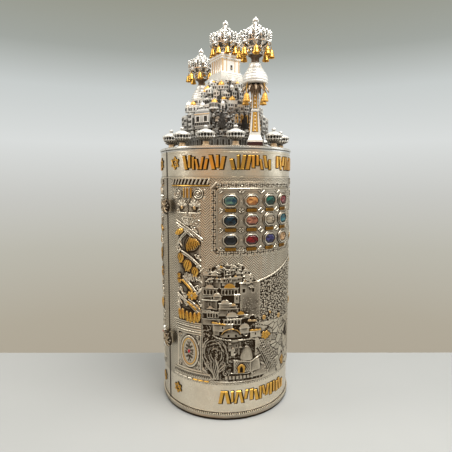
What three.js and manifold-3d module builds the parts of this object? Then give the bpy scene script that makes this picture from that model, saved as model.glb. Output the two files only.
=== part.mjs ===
// A hinged upright case for a Torah scroll: a tall drum, split into two hollow halves that open like a book.
// Each half carries pillars, a breastplate or tablets and a landscape in relief. Bowls and tall finials stand
// on its rim, and a model of an old hill city, with a crowned temple, stands in the middle.
// Millimetres, +Z up. The split lies in x = 0, the clasps face -Y and the hinges are at +Y. Pieces of a half
// are made with the middle of that half at +X, and the left half is the same frame turned half round.
import * as THREE from "three";
import { mergeVertices } from "three/addons/utils/BufferGeometryUtils.js";
import Module from "manifold-3d";

const wasm = await Module();
wasm.setup();

// ---- driving dimensions ----
const R = 145; // outer radius of the drum
const HEIGHT = 565; // height of the drum
const WALL = 7; // thickness of the curved wall
const END = 9; // thickness of the top and bottom discs
const SEAM = 2; // gap between the halves
const GAP = 0.3; // clearance between pieces that touch
const FACETS = 40; // facets round the drum
const FACET = 360 / FACETS;
const BASE_RING = { height: 17, out: 3.5 };
const TOP_RING = { height: 10, out: 2.5 };

const PILLAR_BEARING = 7 * FACET; // from the middle of a half, either way
const PILLAR = { foot: 80, plinth: 102, cap: 183, shaft: 206, capital: 406, abacus: 486, top: 500 };
const LAND = { half: 47.5, foot: 82, skyline: 306, woods: 290 };

const BREAST = { half: 41.6, low: 346, high: 495, out: 2.6, chamfer: 14 };
const GEM = { columns: 4, rows: 3, pitch: 16.9, middle: -2.5, drop: 38.9, top: 457.5, width: 25, height: 18 };
const BEZEL = { width: 34, height: 29, out: 7 };

const BOWL_RING = 0.86 * R;
const BOWL_BEARINGS = [-77.5, -50, -22.5, 22.5, 50, 77.5];
const FINIAL_RING = 0.78 * R;
const FINIAL_FOOT = 9; // height of the dark block under a finial
const FINIAL_HEIGHT = 187; // from the rim to the underside of its crown
const CITY = { across: 90, along: 103, height: 164 };
const TEMPLE_HEIGHT = 41;
const CROWN = { width: 72, height: 76, band: 18 };
const SMALL_CROWN = { width: 67, height: 68, band: 16 };

const HINGE_Y = R + 5;
const FITTING_HEIGHTS = { upper: 445, lower: 156 };
const KNUCKLE = { radius: 4.5, pin: 1.8, length: 12, play: 0.4 };
const HASP = { pivot: -9, peg: 9, out: 6.4, thick: 2.2, post: 2.2 };

// ---- small tools ----
const rad = THREE.MathUtils.degToRad;
const steps = (n) => [...Array(n).keys()];

// A repeatable number from 0 to 1 for item n of a set.
function vary(n, set) {
  const s = Math.sin(n * 127.1 + set * 311.7 + 74.7) * 43758.5453;
  return s - Math.floor(s);
}

function solid(geometry) {
  const bare = geometry.index ? geometry.toNonIndexed() : geometry.clone();
  for (const name of ["normal", "uv"]) bare.deleteAttribute(name);
  const merged = mergeVertices(bare, 1e-3);
  return new wasm.Manifold(
    new wasm.Mesh({
      numProp: 3,
      vertProperties: merged.attributes.position.array,
      triVerts: new Uint32Array(merged.index.array),
    }),
  );
}

function geometryOf(made) {
  const mesh = made.getMesh();
  const geometry = new THREE.BufferGeometry();
  geometry.setAttribute("position", new THREE.BufferAttribute(new Float32Array(mesh.vertProperties), 3));
  geometry.setIndex(new THREE.BufferAttribute(new Uint32Array(mesh.triVerts), 1));
  geometry.computeVertexNormals();
  return geometry;
}

const join = (geometries) => geometries.map(solid).reduce((a, b) => a.add(b));
const cut = (from, geometries) => geometries.map(solid).reduce((a, b) => a.subtract(b), from);

// A profile of [radius, height] turned about +Z.
function turned(profile, facets) {
  const points = profile.map(([r, z]) => new THREE.Vector2(r, z));
  return new THREE.LatheGeometry(points, facets).rotateX(Math.PI / 2);
}

// A solid disc or rod between two heights.
const rod = (radius, low, high, facets) => turned([[0, low], [radius, low], [radius, high], [0, high]], facets);

// A ring between two radii and two heights.
function ring(inner, outer, low, high, facets) {
  return turned([[inner, low], [outer, low], [outer, high], [inner, high], [inner, low]], facets);
}

// A box standing on height z.
function box(width, depth, height, x, y, z) {
  return new THREE.BoxGeometry(width, depth, height).translate(x, y, z + height / 2);
}

function extruded(points, depth) {
  const shape = new THREE.Shape(points.map(([x, y]) => new THREE.Vector2(x, y)));
  return new THREE.ExtrudeGeometry(shape, { depth, bevelEnabled: false });
}

// The point of the drum's faceted outline, at this radius, in the direction of a bearing.
function onFacets(radius, bearing) {
  const along = bearing / FACET;
  const offMiddle = (along - Math.floor(along) - 0.5) * FACET;
  const reach = (radius * Math.cos(rad(FACET / 2))) / Math.cos(rad(offMiddle));
  return [reach * Math.cos(rad(bearing)), reach * Math.sin(rad(bearing))];
}

// A curved block between two radii, two bearings and two heights. Its facets match the drum's.
function sector(inner, outer, from, to, low, high) {
  const bearings = [from];
  for (let b = Math.floor(from / FACET + 1) * FACET; b < to - 0.5; b += FACET) bearings.push(b);
  bearings.push(to);
  const arc = (radius) => bearings.map((b) => onFacets(radius, b));
  return extruded([...arc(outer), ...arc(inner).reverse()], high - low).translate(0, 0, low);
}

// Puts a flat piece on the wall: its x runs to the right, its y up and its z outwards.
function onWall(geometry, bearing, height, radius) {
  const out = new THREE.Vector3(Math.cos(rad(bearing)), Math.sin(rad(bearing)), 0);
  const right = new THREE.Vector3(-out.y, out.x, 0);
  const place = new THREE.Matrix4().makeBasis(right, new THREE.Vector3(0, 0, 1), out);
  return geometry.applyMatrix4(place.setPosition(out.x * radius, out.y * radius, height));
}

function octagon(width, height, corner) {
  const [w, h, c] = [width / 2, height / 2, corner];
  return [[w, h - c], [w - c, h], [c - w, h], [-w, h - c], [-w, c - h], [c - w, -h], [w - c, -h], [w, c - h]];
}

function ellipse(width, height, count) {
  return steps(count).map((i) => {
    const a = (2 * Math.PI * (i + 0.5)) / count;
    return [(width / 2) * Math.cos(a), (height / 2) * Math.sin(a)];
  });
}

// The part of a whole ring that belongs to the half at +X.
function halved(made) {
  const reach = 2 * R;
  return made.intersect(solid(box(reach, 2 * reach, 3 * HEIGHT, SEAM / 2 + reach / 2, 0, -HEIGHT)));
}

// The drum with its clearance, cut from whatever is set against the outside of the wall.
const wallSpace = () => rod(R + GAP, -HEIGHT, 2 * HEIGHT, FACETS);

// ---- materials ----
const material = (color, roughness, metalness) => new THREE.MeshStandardMaterial({ color, roughness, metalness });
const silver = material(0xc9c3b4, 0.3, 1);
const bright = material(0xe6e4de, 0.2, 1);
const gilt = material(0xd9a32b, 0.25, 1);
const darkWood = material(0x3a1712, 0.45, 0);
const GEM_COLOURS = [
  [0x2f6f8f, 0xd98a3c, 0x0c5a4c, 0x8f1f2c],
  [0x0a2f3a, 0xb97a6a, 0xcfc6b4, 0x1f7f8a],
  [0x101012, 0xa01018, 0x3c3a78, 0xd2b183],
];

// ---- the drum and its rings ----
function drum() {
  const inner = R - WALL;
  return cut(halved(solid(rod(R, 0, HEIGHT, FACETS))), [rod(inner, END, HEIGHT - END, FACETS)]);
}

function baseRing() {
  const inner = R + GAP;
  const { height, out } = BASE_RING;
  const profile = [[inner, 0], [R + out, 0], [R + out, height - 5], [R + 1.6, height], [inner, height], [inner, 0]];
  return halved(solid(turned(profile, FACETS)));
}

function topRing() {
  const { height, out } = TOP_RING;
  return halved(solid(ring(R + GAP, R + out, HEIGHT - height, HEIGHT - 1, FACETS)));
}

// ---- pillars ----
// A pedestal with an oval medallion, a shaft wound with ribbon and fruit, a scrolled capital and a cornice.
function pillar() {
  const slab = (half, out, low, high) => sector(R + GAP, R + out, -half, half, low, high);
  const parts = [
    slab(14.5, 3.6, PILLAR.foot, PILLAR.plinth),
    slab(12, 2.4, PILLAR.plinth - 1, PILLAR.cap + 1),
    slab(14, 5, PILLAR.cap, PILLAR.shaft),
    slab(10.5, 1.8, PILLAR.shaft - 1, PILLAR.abacus + 1),
    slab(18, 5, PILLAR.abacus, PILLAR.top),
    onWall(extruded(ellipse(42, 74, 12), 4.5), 0, (PILLAR.plinth + PILLAR.cap) / 2, R + 1),
  ];
  for (const turn of [-1, 1]) {
    parts.push(onWall(extruded(ellipse(22, 22, 8), 5), turn * 8, PILLAR.abacus - 14, R + 1));
    parts.push(onWall(extruded([[-8, 16], [8, 16], [0, -18]], 4), turn * 4.4, PILLAR.capital + 22, R + 1));
  }
  const bands = 3;
  const rise = (PILLAR.capital - PILLAR.shaft) / bands;
  for (const i of steps(bands)) {
    const height = PILLAR.shaft + rise * (i + 0.5);
    parts.push(onWall(extruded([[25, -18], [25, -7], [-25, 18], [-25, 7]], 4), 0, height, R + 1));
    const fruit = new THREE.OctahedronGeometry(13).scale(1, 1.2, 0.45);
    parts.push(onWall(fruit, 3 * (i % 2) - 1.5, height + rise / 2 - 6, R + 2.2));
  }
  return cut(join(parts), [wallSpace()]);
}

// ---- breastplate, gems and tablets ----
function framedPlate() {
  const { half, low, high, out, chamfer } = BREAST;
  const frame = solid(sector(R + GAP, R + out + 1.2, -half, half, low, high));
  const border = 9;
  const turn = half - border / 2.6;
  const cuts = [sector(R + out, R + 20, -turn, turn, low + border, high - border)];
  for (const side of [-1, 1]) {
    for (const edge of [low, high]) {
      const wedge = extruded([[0, -chamfer], [chamfer, 0], [0, chamfer], [-chamfer, 0]], 40);
      cuts.push(onWall(wedge, side * half, edge, R - 20));
    }
  }
  return cut(frame, cuts);
}

const gemPlaces = steps(GEM.rows).flatMap((row) =>
  steps(GEM.columns).map((column) => ({
    row,
    column,
    bearing: GEM.middle + (column - (GEM.columns - 1) / 2) * GEM.pitch,
    height: GEM.top - row * GEM.drop,
  })),
);

function breastplate() {
  let made = framedPlate();
  for (const { bearing, height } of gemPlaces) {
    const bezel = extruded(octagon(BEZEL.width, BEZEL.height, 8), BEZEL.out - 1);
    made = made.add(solid(onWall(bezel, bearing, height, R + 1)));
  }
  const room = BEZEL.out + 1;
  const seats = gemPlaces.map(({ bearing, height }) =>
    onWall(extruded(octagon(GEM.width, GEM.height, 5), room), bearing, height, R + BREAST.out),
  );
  return cut(made, seats);
}

// A step-cut stone: an eight-sided girdle with facets sloping up to a smaller table.
function gem() {
  const rise = 3.4;
  const table = 0.62;
  const layer = (size, out) => {
    const outline = octagon((GEM.width - 2 * GAP) * size, (GEM.height - 2 * GAP) * size, 5 * size);
    return outline.map(([x, y]) => [x, y, out]);
  };
  const count = 8;
  const faces = [];
  for (const i of steps(count)) {
    const next = (i + 1) % count;
    faces.push(i, next, next + count, i, next + count, i + count);
  }
  for (const i of steps(count - 2)) {
    faces.push(0, i + 2, i + 1);
    faces.push(count, count + i + 1, count + i + 2);
  }
  const stone = new THREE.BufferGeometry();
  const points = [...layer(1, 0), ...layer(table, rise)];
  stone.setAttribute("position", new THREE.Float32BufferAttribute(points.flat(), 3));
  stone.setIndex(faces);
  return stone;
}

// Two round-topped tablets on the plate of the left half.
function tabletPlate() {
  const tablet = { width: 62, height: 92, foot: 28, thick: 8, bearing: 13 };
  const half = tablet.width / 2;
  const bends = 6;
  const arch = steps(bends + 1).map((i) => {
    const a = (Math.PI * i) / bends;
    return [half * Math.cos(a), tablet.height - half + half * Math.sin(a)];
  });
  let made = framedPlate();
  for (const side of [-1, 1]) {
    const stone = extruded([...arch, [-half, 0], [half, 0]], tablet.thick);
    made = made.add(solid(onWall(stone, side * tablet.bearing, BREAST.low + tablet.foot, R - 2)));
  }
  return cut(made, [wallSpace()]);
}

// ---- landscape ----
// Terraces of small houses climb to a skyline of domes; woods rise on the other side in steps.
function landscape(houses) {
  const inner = R + GAP;
  const middle = (LAND.foot + LAND.woods) / 2;
  const parts = [
    sector(inner, R + 2, -LAND.half, LAND.half, LAND.foot, middle + 1),
    sector(inner, R + 3.4, -LAND.half, -2, middle, LAND.skyline),
  ];
  const woods = 3;
  const width = (LAND.half + 2) / woods;
  for (const i of steps(woods)) {
    const from = -2 + i * width;
    const top = LAND.woods + 15 * i;
    parts.push(sector(inner, R + 2.8, from, from + width, middle, top));
  }
  const house = { width: 16, height: 15, across: 11, rise: 24 };
  for (const i of steps(houses)) {
    const row = Math.floor(i / 4);
    const bearing = -40 + (i % 4) * house.across + 4 * vary(i, 1);
    const low = middle + 10 + row * house.rise + 6 * vary(i, 2);
    const out = 3.5 + 3 * vary(i, 3);
    const wall = box(house.width, house.height, out, 0, 0, 0);
    parts.push(onWall(wall, bearing, low, R + 1));
    if (i % 2) {
      const dome = new THREE.OctahedronGeometry(8).scale(1, 1, 0.6);
      parts.push(onWall(dome, bearing, low + house.height / 2, R + 2));
    }
  }
  const tomb = { width: 50, height: 34, bearing: -22, middle: 160, dome: 15 };
  parts.push(onWall(extruded(octagon(tomb.width, tomb.height, 4), 6), tomb.bearing, tomb.middle, R + 1));
  const dome = new THREE.SphereGeometry(tomb.dome, 8, 4).scale(1, 0.8, 0.4);
  parts.push(onWall(dome, tomb.bearing, tomb.middle + tomb.height / 2, R + 1));
  return cut(join(parts), [wallSpace()]);
}

// ---- what stands on the rim ----
const bowl = () => turned([[0, 0], [9, 0], [4.5, 9], [17, 16], [18.5, 24], [6, 32], [0, 41]], 8);

// A column on a flared foot, with a leafy capital and a bell-shaped skirt above it.
function finialColumn() {
  const low = FINIAL_FOOT + GAP;
  const profile = [
    [0, low], [15.5, low], [10, 24], [9.6, 28], [8, 113], [11, 128], [27, 141], [26, 146], [19, 158], [13, 174],
    [7, 177], [7, FINIAL_HEIGHT - 1], [12, FINIAL_HEIGHT], [0, FINIAL_HEIGHT],
  ];
  return turned(profile, 8);
}

// A crown of arched ribs between a narrow base band and a knob, with a hoop round its widest place.
function crown({ width, height, band }) {
  const wide = width / 2;
  const sides = 8;
  const ribs = 4;
  const rib = 3;
  const outer = [[band, 0.18], [wide * 0.94, 0.4], [wide * 0.94, 0.56], [4, 0.84]];
  const inner = [[1, 0.74], [wide * 0.78, 0.54], [wide * 0.78, 0.43], [band - 3, 0.24]];
  const outline = [...outer, ...inner].map(([r, share]) => [r, share * height]);
  const parts = [
    rod(band, 0, height * 0.2, sides),
    ring(wide - 4, wide, height * 0.41, height * 0.53, sides),
    turned([[0, height * 0.72], [6, height * 0.72], [3.5, height * 0.87], [7, height * 0.94], [0, height]], sides),
  ];
  for (const i of steps(ribs)) {
    const arch = extruded(outline, rib).translate(0, 0, -rib / 2);
    parts.push(arch.rotateX(Math.PI / 2).rotateZ((2 * Math.PI * i) / ribs));
  }
  return join(parts);
}

// ---- the city and its temple ----
// Rings of houses, each ring narrower and higher than the last, under the stepped terrace of the temple.
function city() {
  const { across, along, height } = CITY;
  const tiers = [
    { share: 1, low: 0, high: 46, houses: 9 },
    { share: 0.97, low: 45, high: 73, houses: 8 },
    { share: 0.78, low: 72, high: 102, houses: 6 },
    { share: 0.6, low: 101, high: 136, houses: 4 },
  ];
  const parts = [];
  tiers.forEach(({ share, low, high, houses }, tier) => {
    const core = share * 0.82;
    parts.push(rod(1, low, high, 8).scale(across * core, along * core, 1));
    for (const i of steps(houses)) {
      const a = (2 * Math.PI * (i + 0.5 * (tier % 2) + 0.2 * vary(i, tier))) / houses;
      const tall = (high - low) * (0.7 + 0.3 * vary(i, tier + 7));
      const wide = 20 + 10 * vary(i, tier + 11);
      const reach = share - 0.15;
      const [x, y] = [across * reach * Math.cos(a), along * reach * Math.sin(a)];
      parts.push(box(26, wide, tall, 0, 0, low).rotateZ(a).translate(x, y, 0));
      if (i % 2 === 0) {
        parts.push(new THREE.OctahedronGeometry(9).translate(x, y, low + tall));
      }
    }
  });
  const terrace = { steps: 3, foot: 74, shrink: 8, low: 135 };
  const rise = (height - terrace.low) / terrace.steps;
  for (const i of steps(terrace.steps)) {
    const size = terrace.foot - i * terrace.shrink;
    parts.push(box(size, size, rise + (i < terrace.steps - 1 ? 1 : 0), 0, 0, terrace.low + i * rise));
  }
  return join(parts);
}

function temple() {
  const wide = 48;
  const parts = [
    box(wide, wide, 3, 0, 0, 0),
    box(wide - 8, wide - 8, TEMPLE_HEIGHT - 7, 0, 0, 2),
    box(wide - 3, wide - 3, 5, 0, 0, TEMPLE_HEIGHT - 12),
    box(wide + 4, wide + 4, 8, 0, 0, TEMPLE_HEIGHT - 8),
  ];
  const columns = 4;
  const spread = wide - 7;
  for (const i of steps(columns)) {
    const x = -spread / 2 + (spread * i) / (columns - 1);
    for (const y of [-spread / 2, spread / 2]) parts.push(rod(2.6, 2, TEMPLE_HEIGHT - 11, 6).translate(x, y, 0));
  }
  return join(parts);
}

// ---- hinges ----
// Three knuckles on a pin: the outer two belong to the left leaf and the middle one to the right leaf.
function hingeLeaf(spans) {
  const { radius, pin, length, play } = KNUCKLE;
  const parts = [onWall(extruded(octagon(22, 36, 5), 3.4), 84, 0, R - 0.6)];
  for (const [from, to] of spans) {
    const low = from * length + play / 2;
    const high = to * length - play / 2;
    parts.push(rod(radius, low, high, 8).translate(0, HINGE_Y, 0));
    parts.push(box(7, 3.6, high - low, 3.8, HINGE_Y - 2.4, low));
  }
  return cut(join(parts), [rod(pin, -2 * length, 2 * length, 8).translate(0, HINGE_Y, 0), wallSpace()]);
}

function hingePin() {
  const { pin, length } = KNUCKLE;
  const end = 1.5 * length + GAP;
  const r = pin - GAP;
  const profile = [[0, -end - 4], [2.8, -end], [r, -end], [r, end], [2.8, end], [0, end + 4]];
  return turned(profile, 8);
}

// ---- clasps ----
// A forked hasp turns on a post left of the seam and closes round a plain peg right of it.
function haspPost() {
  const { pivot, out, thick, post } = HASP;
  const y = -(R + out + thick / 2);
  const parts = [box(13, 5, 28, pivot, -(R + 0.3), -14), rod(post, -10, 10, 8).translate(pivot, y, 0)];
  for (const low of [-12, 9]) parts.push(box(6, 10, 3, pivot, -(R + 5), low));
  return cut(join(parts), [wallSpace()]);
}

function hasp() {
  const { pivot, peg, out, thick, post } = HASP;
  const y = -(R + out + thick / 2);
  const slot = 2.2;
  const outline = [
    [pivot, -8], [2, -11], [peg + 6, -8], [peg + 7, -slot], [peg - slot, -slot], [peg - slot, slot],
    [peg + 7, slot], [peg + 6, 8], [2, 11], [pivot, 8],
  ];
  const plate = extruded(outline, thick).rotateX(Math.PI / 2).translate(0, -(R + out), 0);
  const sleeve = rod(4.2, -8, 8, 8).translate(pivot, y, 0);
  return cut(join([sleeve, plate]), [rod(post + GAP, -20, 20, 8).translate(pivot, y, 0)]);
}

function haspPeg() {
  const { peg, out, thick } = HASP;
  const length = out + thick + 1;
  const pin = rod(1.5, 0, length, 8).rotateX(Math.PI / 2).translate(peg, -R, 0);
  return cut(join([box(11, 5, 24, peg, -(R + 0.8), -12), pin]), [wallSpace()]);
}

// ---- assembly ----
function piece(group, name, made, look, x = 0, y = 0, z = 0) {
  const mesh = new THREE.Mesh(made.isBufferGeometry ? made : geometryOf(made), look);
  mesh.name = name;
  mesh.position.set(x, y, z);
  group.add(mesh);
  return mesh;
}

const scrollCase = new THREE.Group();
const left = new THREE.Group();
const right = new THREE.Group();
left.rotation.z = Math.PI;
scrollCase.add(left, right);

for (const [half, name] of [[left, "left"], [right, "right"]]) {
  piece(half, `${name}_case`, drum(), silver);
  piece(half, `${name}_base_ring`, baseRing(), silver, 0, 0, GAP);
  piece(half, `${name}_top_ring`, topRing(), bright);
  piece(half, `${name}_landscape`, landscape(half === right ? 12 : 6), silver);
  for (const end of [-1, 1]) {
    const place = end * (half === right ? 1 : -1) < 0 ? "front" : "back";
    piece(half, `${name}_${place}_pillar`, pillar(), silver).rotation.z = rad(end * PILLAR_BEARING);
  }
  BOWL_BEARINGS.forEach((bearing, i) => {
    const [x, y] = [BOWL_RING * Math.cos(rad(bearing)), BOWL_RING * Math.sin(rad(bearing))];
    piece(half, `${name}_bowl_${i + 1}`, bowl(), bright, x, y, HEIGHT + GAP);
  });
  const rim = HEIGHT + GAP;
  piece(half, `${name}_finial_foot`, rod(14.5, 0, FINIAL_FOOT, 8), darkWood, FINIAL_RING, 0, rim);
  piece(half, `${name}_finial_column`, finialColumn(), bright, FINIAL_RING, 0, rim);
  piece(half, `${name}_finial_crown`, crown(SMALL_CROWN), bright, FINIAL_RING, 0, rim + FINIAL_HEIGHT + GAP);
}

piece(left, "tablet_plate", tabletPlate(), silver);
piece(right, "breastplate", breastplate(), silver);
for (const { row, column, bearing, height } of gemPlaces) {
  const stone = onWall(gem(), bearing, 0, R + BREAST.out + GAP);
  const look = material(GEM_COLOURS[row][column], 0.05, 0);
  piece(right, `gem_${row * GEM.columns + column + 1}`, stone, look, 0, 0, height);
}

const cityFoot = HEIGHT + GAP;
const templeFoot = cityFoot + CITY.height + GAP;
piece(scrollCase, "city", city(), silver, 0, 0, cityFoot);
piece(scrollCase, "temple", temple(), bright, 0, 0, templeFoot);
piece(scrollCase, "temple_crown", crown(CROWN), bright, 0, 0, templeFoot + TEMPLE_HEIGHT + GAP);

for (const [place, height] of Object.entries(FITTING_HEIGHTS)) {
  const outer = [[-1.5, -0.5], [0.5, 1.5]];
  const leftLeaf = piece(scrollCase, `${place}_hinge_left_leaf`, hingeLeaf(outer).mirror([1, 0, 0]), silver);
  leftLeaf.position.z = height;
  piece(scrollCase, `${place}_hinge_right_leaf`, hingeLeaf([[-0.5, 0.5]]), silver, 0, 0, height);
  piece(scrollCase, `${place}_hinge_pin`, hingePin(), gilt, 0, HINGE_Y, height);
  piece(scrollCase, `${place}_hasp_post`, haspPost(), silver, 0, 0, height);
  piece(scrollCase, `${place}_hasp`, hasp(), silver, 0, 0, height);
  piece(scrollCase, `${place}_hasp_peg`, haspPeg(), silver, 0, 0, height);
}

export default scrollCase;
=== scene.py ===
import bpy
import math
import numpy as np
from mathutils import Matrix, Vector

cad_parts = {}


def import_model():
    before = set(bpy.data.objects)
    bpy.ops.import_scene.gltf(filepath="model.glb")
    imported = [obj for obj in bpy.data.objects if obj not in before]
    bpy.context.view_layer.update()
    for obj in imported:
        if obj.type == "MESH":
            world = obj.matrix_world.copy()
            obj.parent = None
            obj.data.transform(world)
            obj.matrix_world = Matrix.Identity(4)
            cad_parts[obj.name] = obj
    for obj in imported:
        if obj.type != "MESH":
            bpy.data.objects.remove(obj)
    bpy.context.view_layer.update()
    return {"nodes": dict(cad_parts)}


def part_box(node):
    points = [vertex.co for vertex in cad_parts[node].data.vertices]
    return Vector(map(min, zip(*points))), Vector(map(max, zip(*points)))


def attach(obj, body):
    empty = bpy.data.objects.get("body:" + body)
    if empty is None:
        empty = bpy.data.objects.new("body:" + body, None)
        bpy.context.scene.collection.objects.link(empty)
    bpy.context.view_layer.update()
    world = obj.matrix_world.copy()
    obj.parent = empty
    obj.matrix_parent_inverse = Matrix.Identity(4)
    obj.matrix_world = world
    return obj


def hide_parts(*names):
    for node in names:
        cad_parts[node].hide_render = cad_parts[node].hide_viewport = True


# The visual model of the scroll case. Shapes are drawn in millimetres and placed in metres (MM).
# On the wall of a half, u runs to the right seen from outside, v up and w out of the drum's surface, and
# u = 0 is the middle of the half. Each half is made round +X, and the left one is turned half round.

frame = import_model()

# ---- sizes from the frame ----
MM = 0.001
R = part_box("right_case")[1].x / MM
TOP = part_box("right_case")[1].z / MM
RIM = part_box("right_bowl_1")[0].z / MM
FINIAL_X = (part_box("right_finial_foot")[0].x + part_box("right_finial_foot")[1].x) / 2 / MM
TEMPLE_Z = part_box("temple")[0].z / MM
TEMPLE_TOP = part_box("temple")[1].z / MM
CITY_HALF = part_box("city")[1] / MM
CROWN_BOX = [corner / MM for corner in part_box("temple_crown")]
FINIAL_CROWN_BOX = [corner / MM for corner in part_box("right_finial_crown")]
WALL = 7.0
END = 9.0
SEAM = 1.0
PILLAR_BEARING = 63.0
VIEW = math.radians(-31.8)  # the bearing that the camera looks from
PIN_X, PIN_Y = -9.0, -152.5  # where the clasps' pins stand
HALF_SIDES = 120  # how many flat facets go round a half
HALVES = [("left", "left_half", True), ("right", "right_half", False)]


def along(bearing):
    """The wall's u at a bearing in degrees from the middle of the half."""
    return math.radians(bearing) * R


# ---- meshes ----
def grid_faces(rows, columns, rows_close=False, columns_close=False):
    """Four-sided faces over rows of points; the last row or column can join back to the first."""
    down, across = rows - (not rows_close), columns - (not columns_close)
    i, j = np.meshgrid(np.arange(down), np.arange(across), indexing="ij")
    up, on = (i + 1) % rows, (j + 1) % columns
    return np.stack([i * columns + j, i * columns + on, up * columns + on, up * columns + j], 2).reshape(-1, 4)


class Clay:
    """The faces of one piece, with two marks on each point: gilt, and dark for tarnish in its hollows and for painted
    shade and shadow.
    """

    def __init__(self):
        self.points, self.faces, self.gilt, self.dark = [], [], [], []
        self.count = 0

    def add(self, shape, gilt=0.0, dark=0.0):
        points, faces = shape
        self.points.append(np.asarray(points, float))
        self.gilt.append(np.broadcast_to(gilt, len(points)))
        self.dark.append(np.broadcast_to(dark, len(points)))
        if isinstance(faces, np.ndarray):
            self.faces += (faces + self.count).tolist()
        else:
            self.faces += [[i + self.count for i in face] for face in faces]
        self.count += len(points)


def finished(name, clay, material, body, replaced=(), turned=False, sharp=40):
    """Makes the piece: its mesh, marks and material, the body it rides on and the CAD nodes it stands for."""
    points = np.concatenate(clay.points) * MM
    if turned:
        points[:, :2] *= -1
    mesh = bpy.data.meshes.new(name)
    mesh.from_pydata(points.tolist(), [], clay.faces)
    for mark, values in (("gilt", clay.gilt), ("dark", clay.dark)):
        attribute = mesh.attributes.new(mark, "FLOAT", "POINT")
        attribute.data.foreach_set("value", np.concatenate(values).astype(np.float32))
    mesh.shade_smooth()
    mesh.set_sharp_from_angle(angle=math.radians(sharp))
    mesh.materials.append(material)
    made = bpy.data.objects.new(name, mesh)
    bpy.context.scene.collection.objects.link(made)
    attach(made, body)
    if replaced:
        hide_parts(*replaced)


def finished_at(place, name, clay, material, body, replaced, turned=False):
    """Moves a piece drawn round the origin to its place, then makes it."""
    clay.points = [points + np.array(place) for points in clay.points]
    finished(name, clay, material, body, replaced, turned)


def moved(shape, x=0.0, y=0.0, z=0.0, turn=0.0, size=1.0):
    points, faces = shape
    points = np.asarray(points, float) * size
    c, s = math.cos(turn), math.sin(turn)
    px, py, pz = points.T
    return np.stack([c * px - s * py + x, s * px + c * py + y, pz + z], 1), faces


def bent(shape, u=0.0, v=0.0, w=0.0):
    """A flat shape in (u, v, w) laid round the wall."""
    points, faces = shape
    pu, pv, pw = np.asarray(points, float).T
    a = (pu + u) / R
    return np.stack([(R + w + pw) * np.cos(a), (R + w + pw) * np.sin(a), pv + v], 1), faces


def crate(width, depth, height, lean=0.0):
    """A box standing on z = 0, its top drawn in by lean on every side."""
    w, d = width / 2, depth / 2
    low = [(-w, -d, 0), (w, -d, 0), (w, d, 0), (-w, d, 0)]
    high = [(x * (1 - lean / w), y * (1 - lean / d), height) for x, y, _ in low]
    sides = [[i, (i + 1) % 4, 4 + (i + 1) % 4, 4 + i] for i in range(4)]
    return low + high, [*sides, [3, 2, 1, 0], [4, 5, 6, 7]]


def facing(shape, turn, out, across, z=0.0, x=0.0, y=0.0):
    """A shape turned to a bearing and set out along that bearing, and across it, from (x, y)."""
    c, s = math.cos(turn), math.sin(turn)
    return moved(shape, x + c * out - s * across, y + s * out + c * across, z, turn)


def ring(radius, count, start=0.0):
    """Even places round a circle: each one's number, bearing, x and y."""
    for k in range(count):
        a = start + 2 * math.pi * k / count
        yield k, a, radius * math.cos(a), radius * math.sin(a)


def lathe(profile, sides, wave=0.0, lobes=0, start=0.0):
    """A profile of (radius, height) turned about z, its radius swelling in lobes."""
    r, z = np.array(profile, float).T
    a = start + 2 * math.pi * np.arange(sides) / sides
    swell = 1 + wave * np.cos(lobes * a)
    x = r[:, None] * swell * np.cos(a)
    y = r[:, None] * swell * np.sin(a)
    points = np.stack([x, y, np.broadcast_to(z[:, None], x.shape)], 2).reshape(-1, 3)
    return points, grid_faces(len(r), sides, columns_close=True)


def tube(path, radius, sides=6):
    """A rod along a path; radius is one number, or one for each point."""
    path = np.array(path, float)
    radius = np.broadcast_to(radius, len(path))
    ahead = np.gradient(path, axis=0)
    ahead /= np.linalg.norm(ahead, axis=1)[:, None] + 1e-9
    side = np.cross(ahead, [0.31, 0.17, 0.93])
    side /= np.linalg.norm(side, axis=1)[:, None] + 1e-9
    up = np.cross(side, ahead)
    a = 2 * math.pi * np.arange(sides) / sides
    rim = np.cos(a)[None, :, None] * side[:, None] + np.sin(a)[None, :, None] * up[:, None]
    points = (path[:, None] + rim * radius[:, None, None]).reshape(-1, 3)
    caps = [list(range(sides))[::-1], list(range(len(points) - sides, len(points)))]
    return points, grid_faces(len(path), sides, columns_close=True).tolist() + caps


def ball(radius, squash=1.0, sides=10, rows=6):
    a = np.linspace(-math.pi / 2, math.pi / 2, rows + 1)
    return lathe(np.stack([np.maximum(np.cos(a), 0.01) * radius, np.sin(a) * radius * squash], 1), sides)


def tile(outline, low, high, bevel=0.6):
    """A flat-topped tile over an outline in (u, v), with a sloping edge, standing from w = low to high."""
    outline = np.array(outline, float)
    middle = outline.mean(0)
    shrink = 1 - bevel / np.linalg.norm(outline - middle, axis=1).mean()
    inner = middle + (outline - middle) * shrink
    n = len(outline)
    levels = ((outline, low), (outline, high - bevel), (inner, high))
    points = np.concatenate([np.column_stack([edge, np.full(n, w)]) for edge, w in levels])
    return points, [*grid_faces(3, n, columns_close=True).tolist(), list(range(2 * n, 3 * n))]


def octagon(width, height, corner):
    """A rectangle in (u, v) with its corners cut off, round its middle."""
    w, h, c = width / 2, height / 2, corner
    right = [(w, c - h), (w, h - c), (w - c, h)]
    left = [(c - w, h), (-w, h - c), (-w, c - h), (c - w, -h)]
    return [*right, *left, (w - c, -h)]


def oval(ru, rv, count):
    """Points round an oval in (u, v)."""
    return [(ru * math.cos(t), rv * math.sin(t)) for t in 2 * math.pi * np.arange(count) / count]


def bell(size=1.0):
    """A small round-shouldered bell with its crown at z = 0, hanging down."""
    profile = [(0.3, 0), (1.4, -0.5), (1.6, -1.8), (3.6, -3.0), (4.9, -5.5), (5.4, -9.5), (6.2, -13),
               (7.3, -15.6), (7.3, -16.8), (6.1, -16.4), (4.4, -10), (0.3, -5)]
    return lathe(np.array(profile)[::-1] * size, 12)


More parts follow.
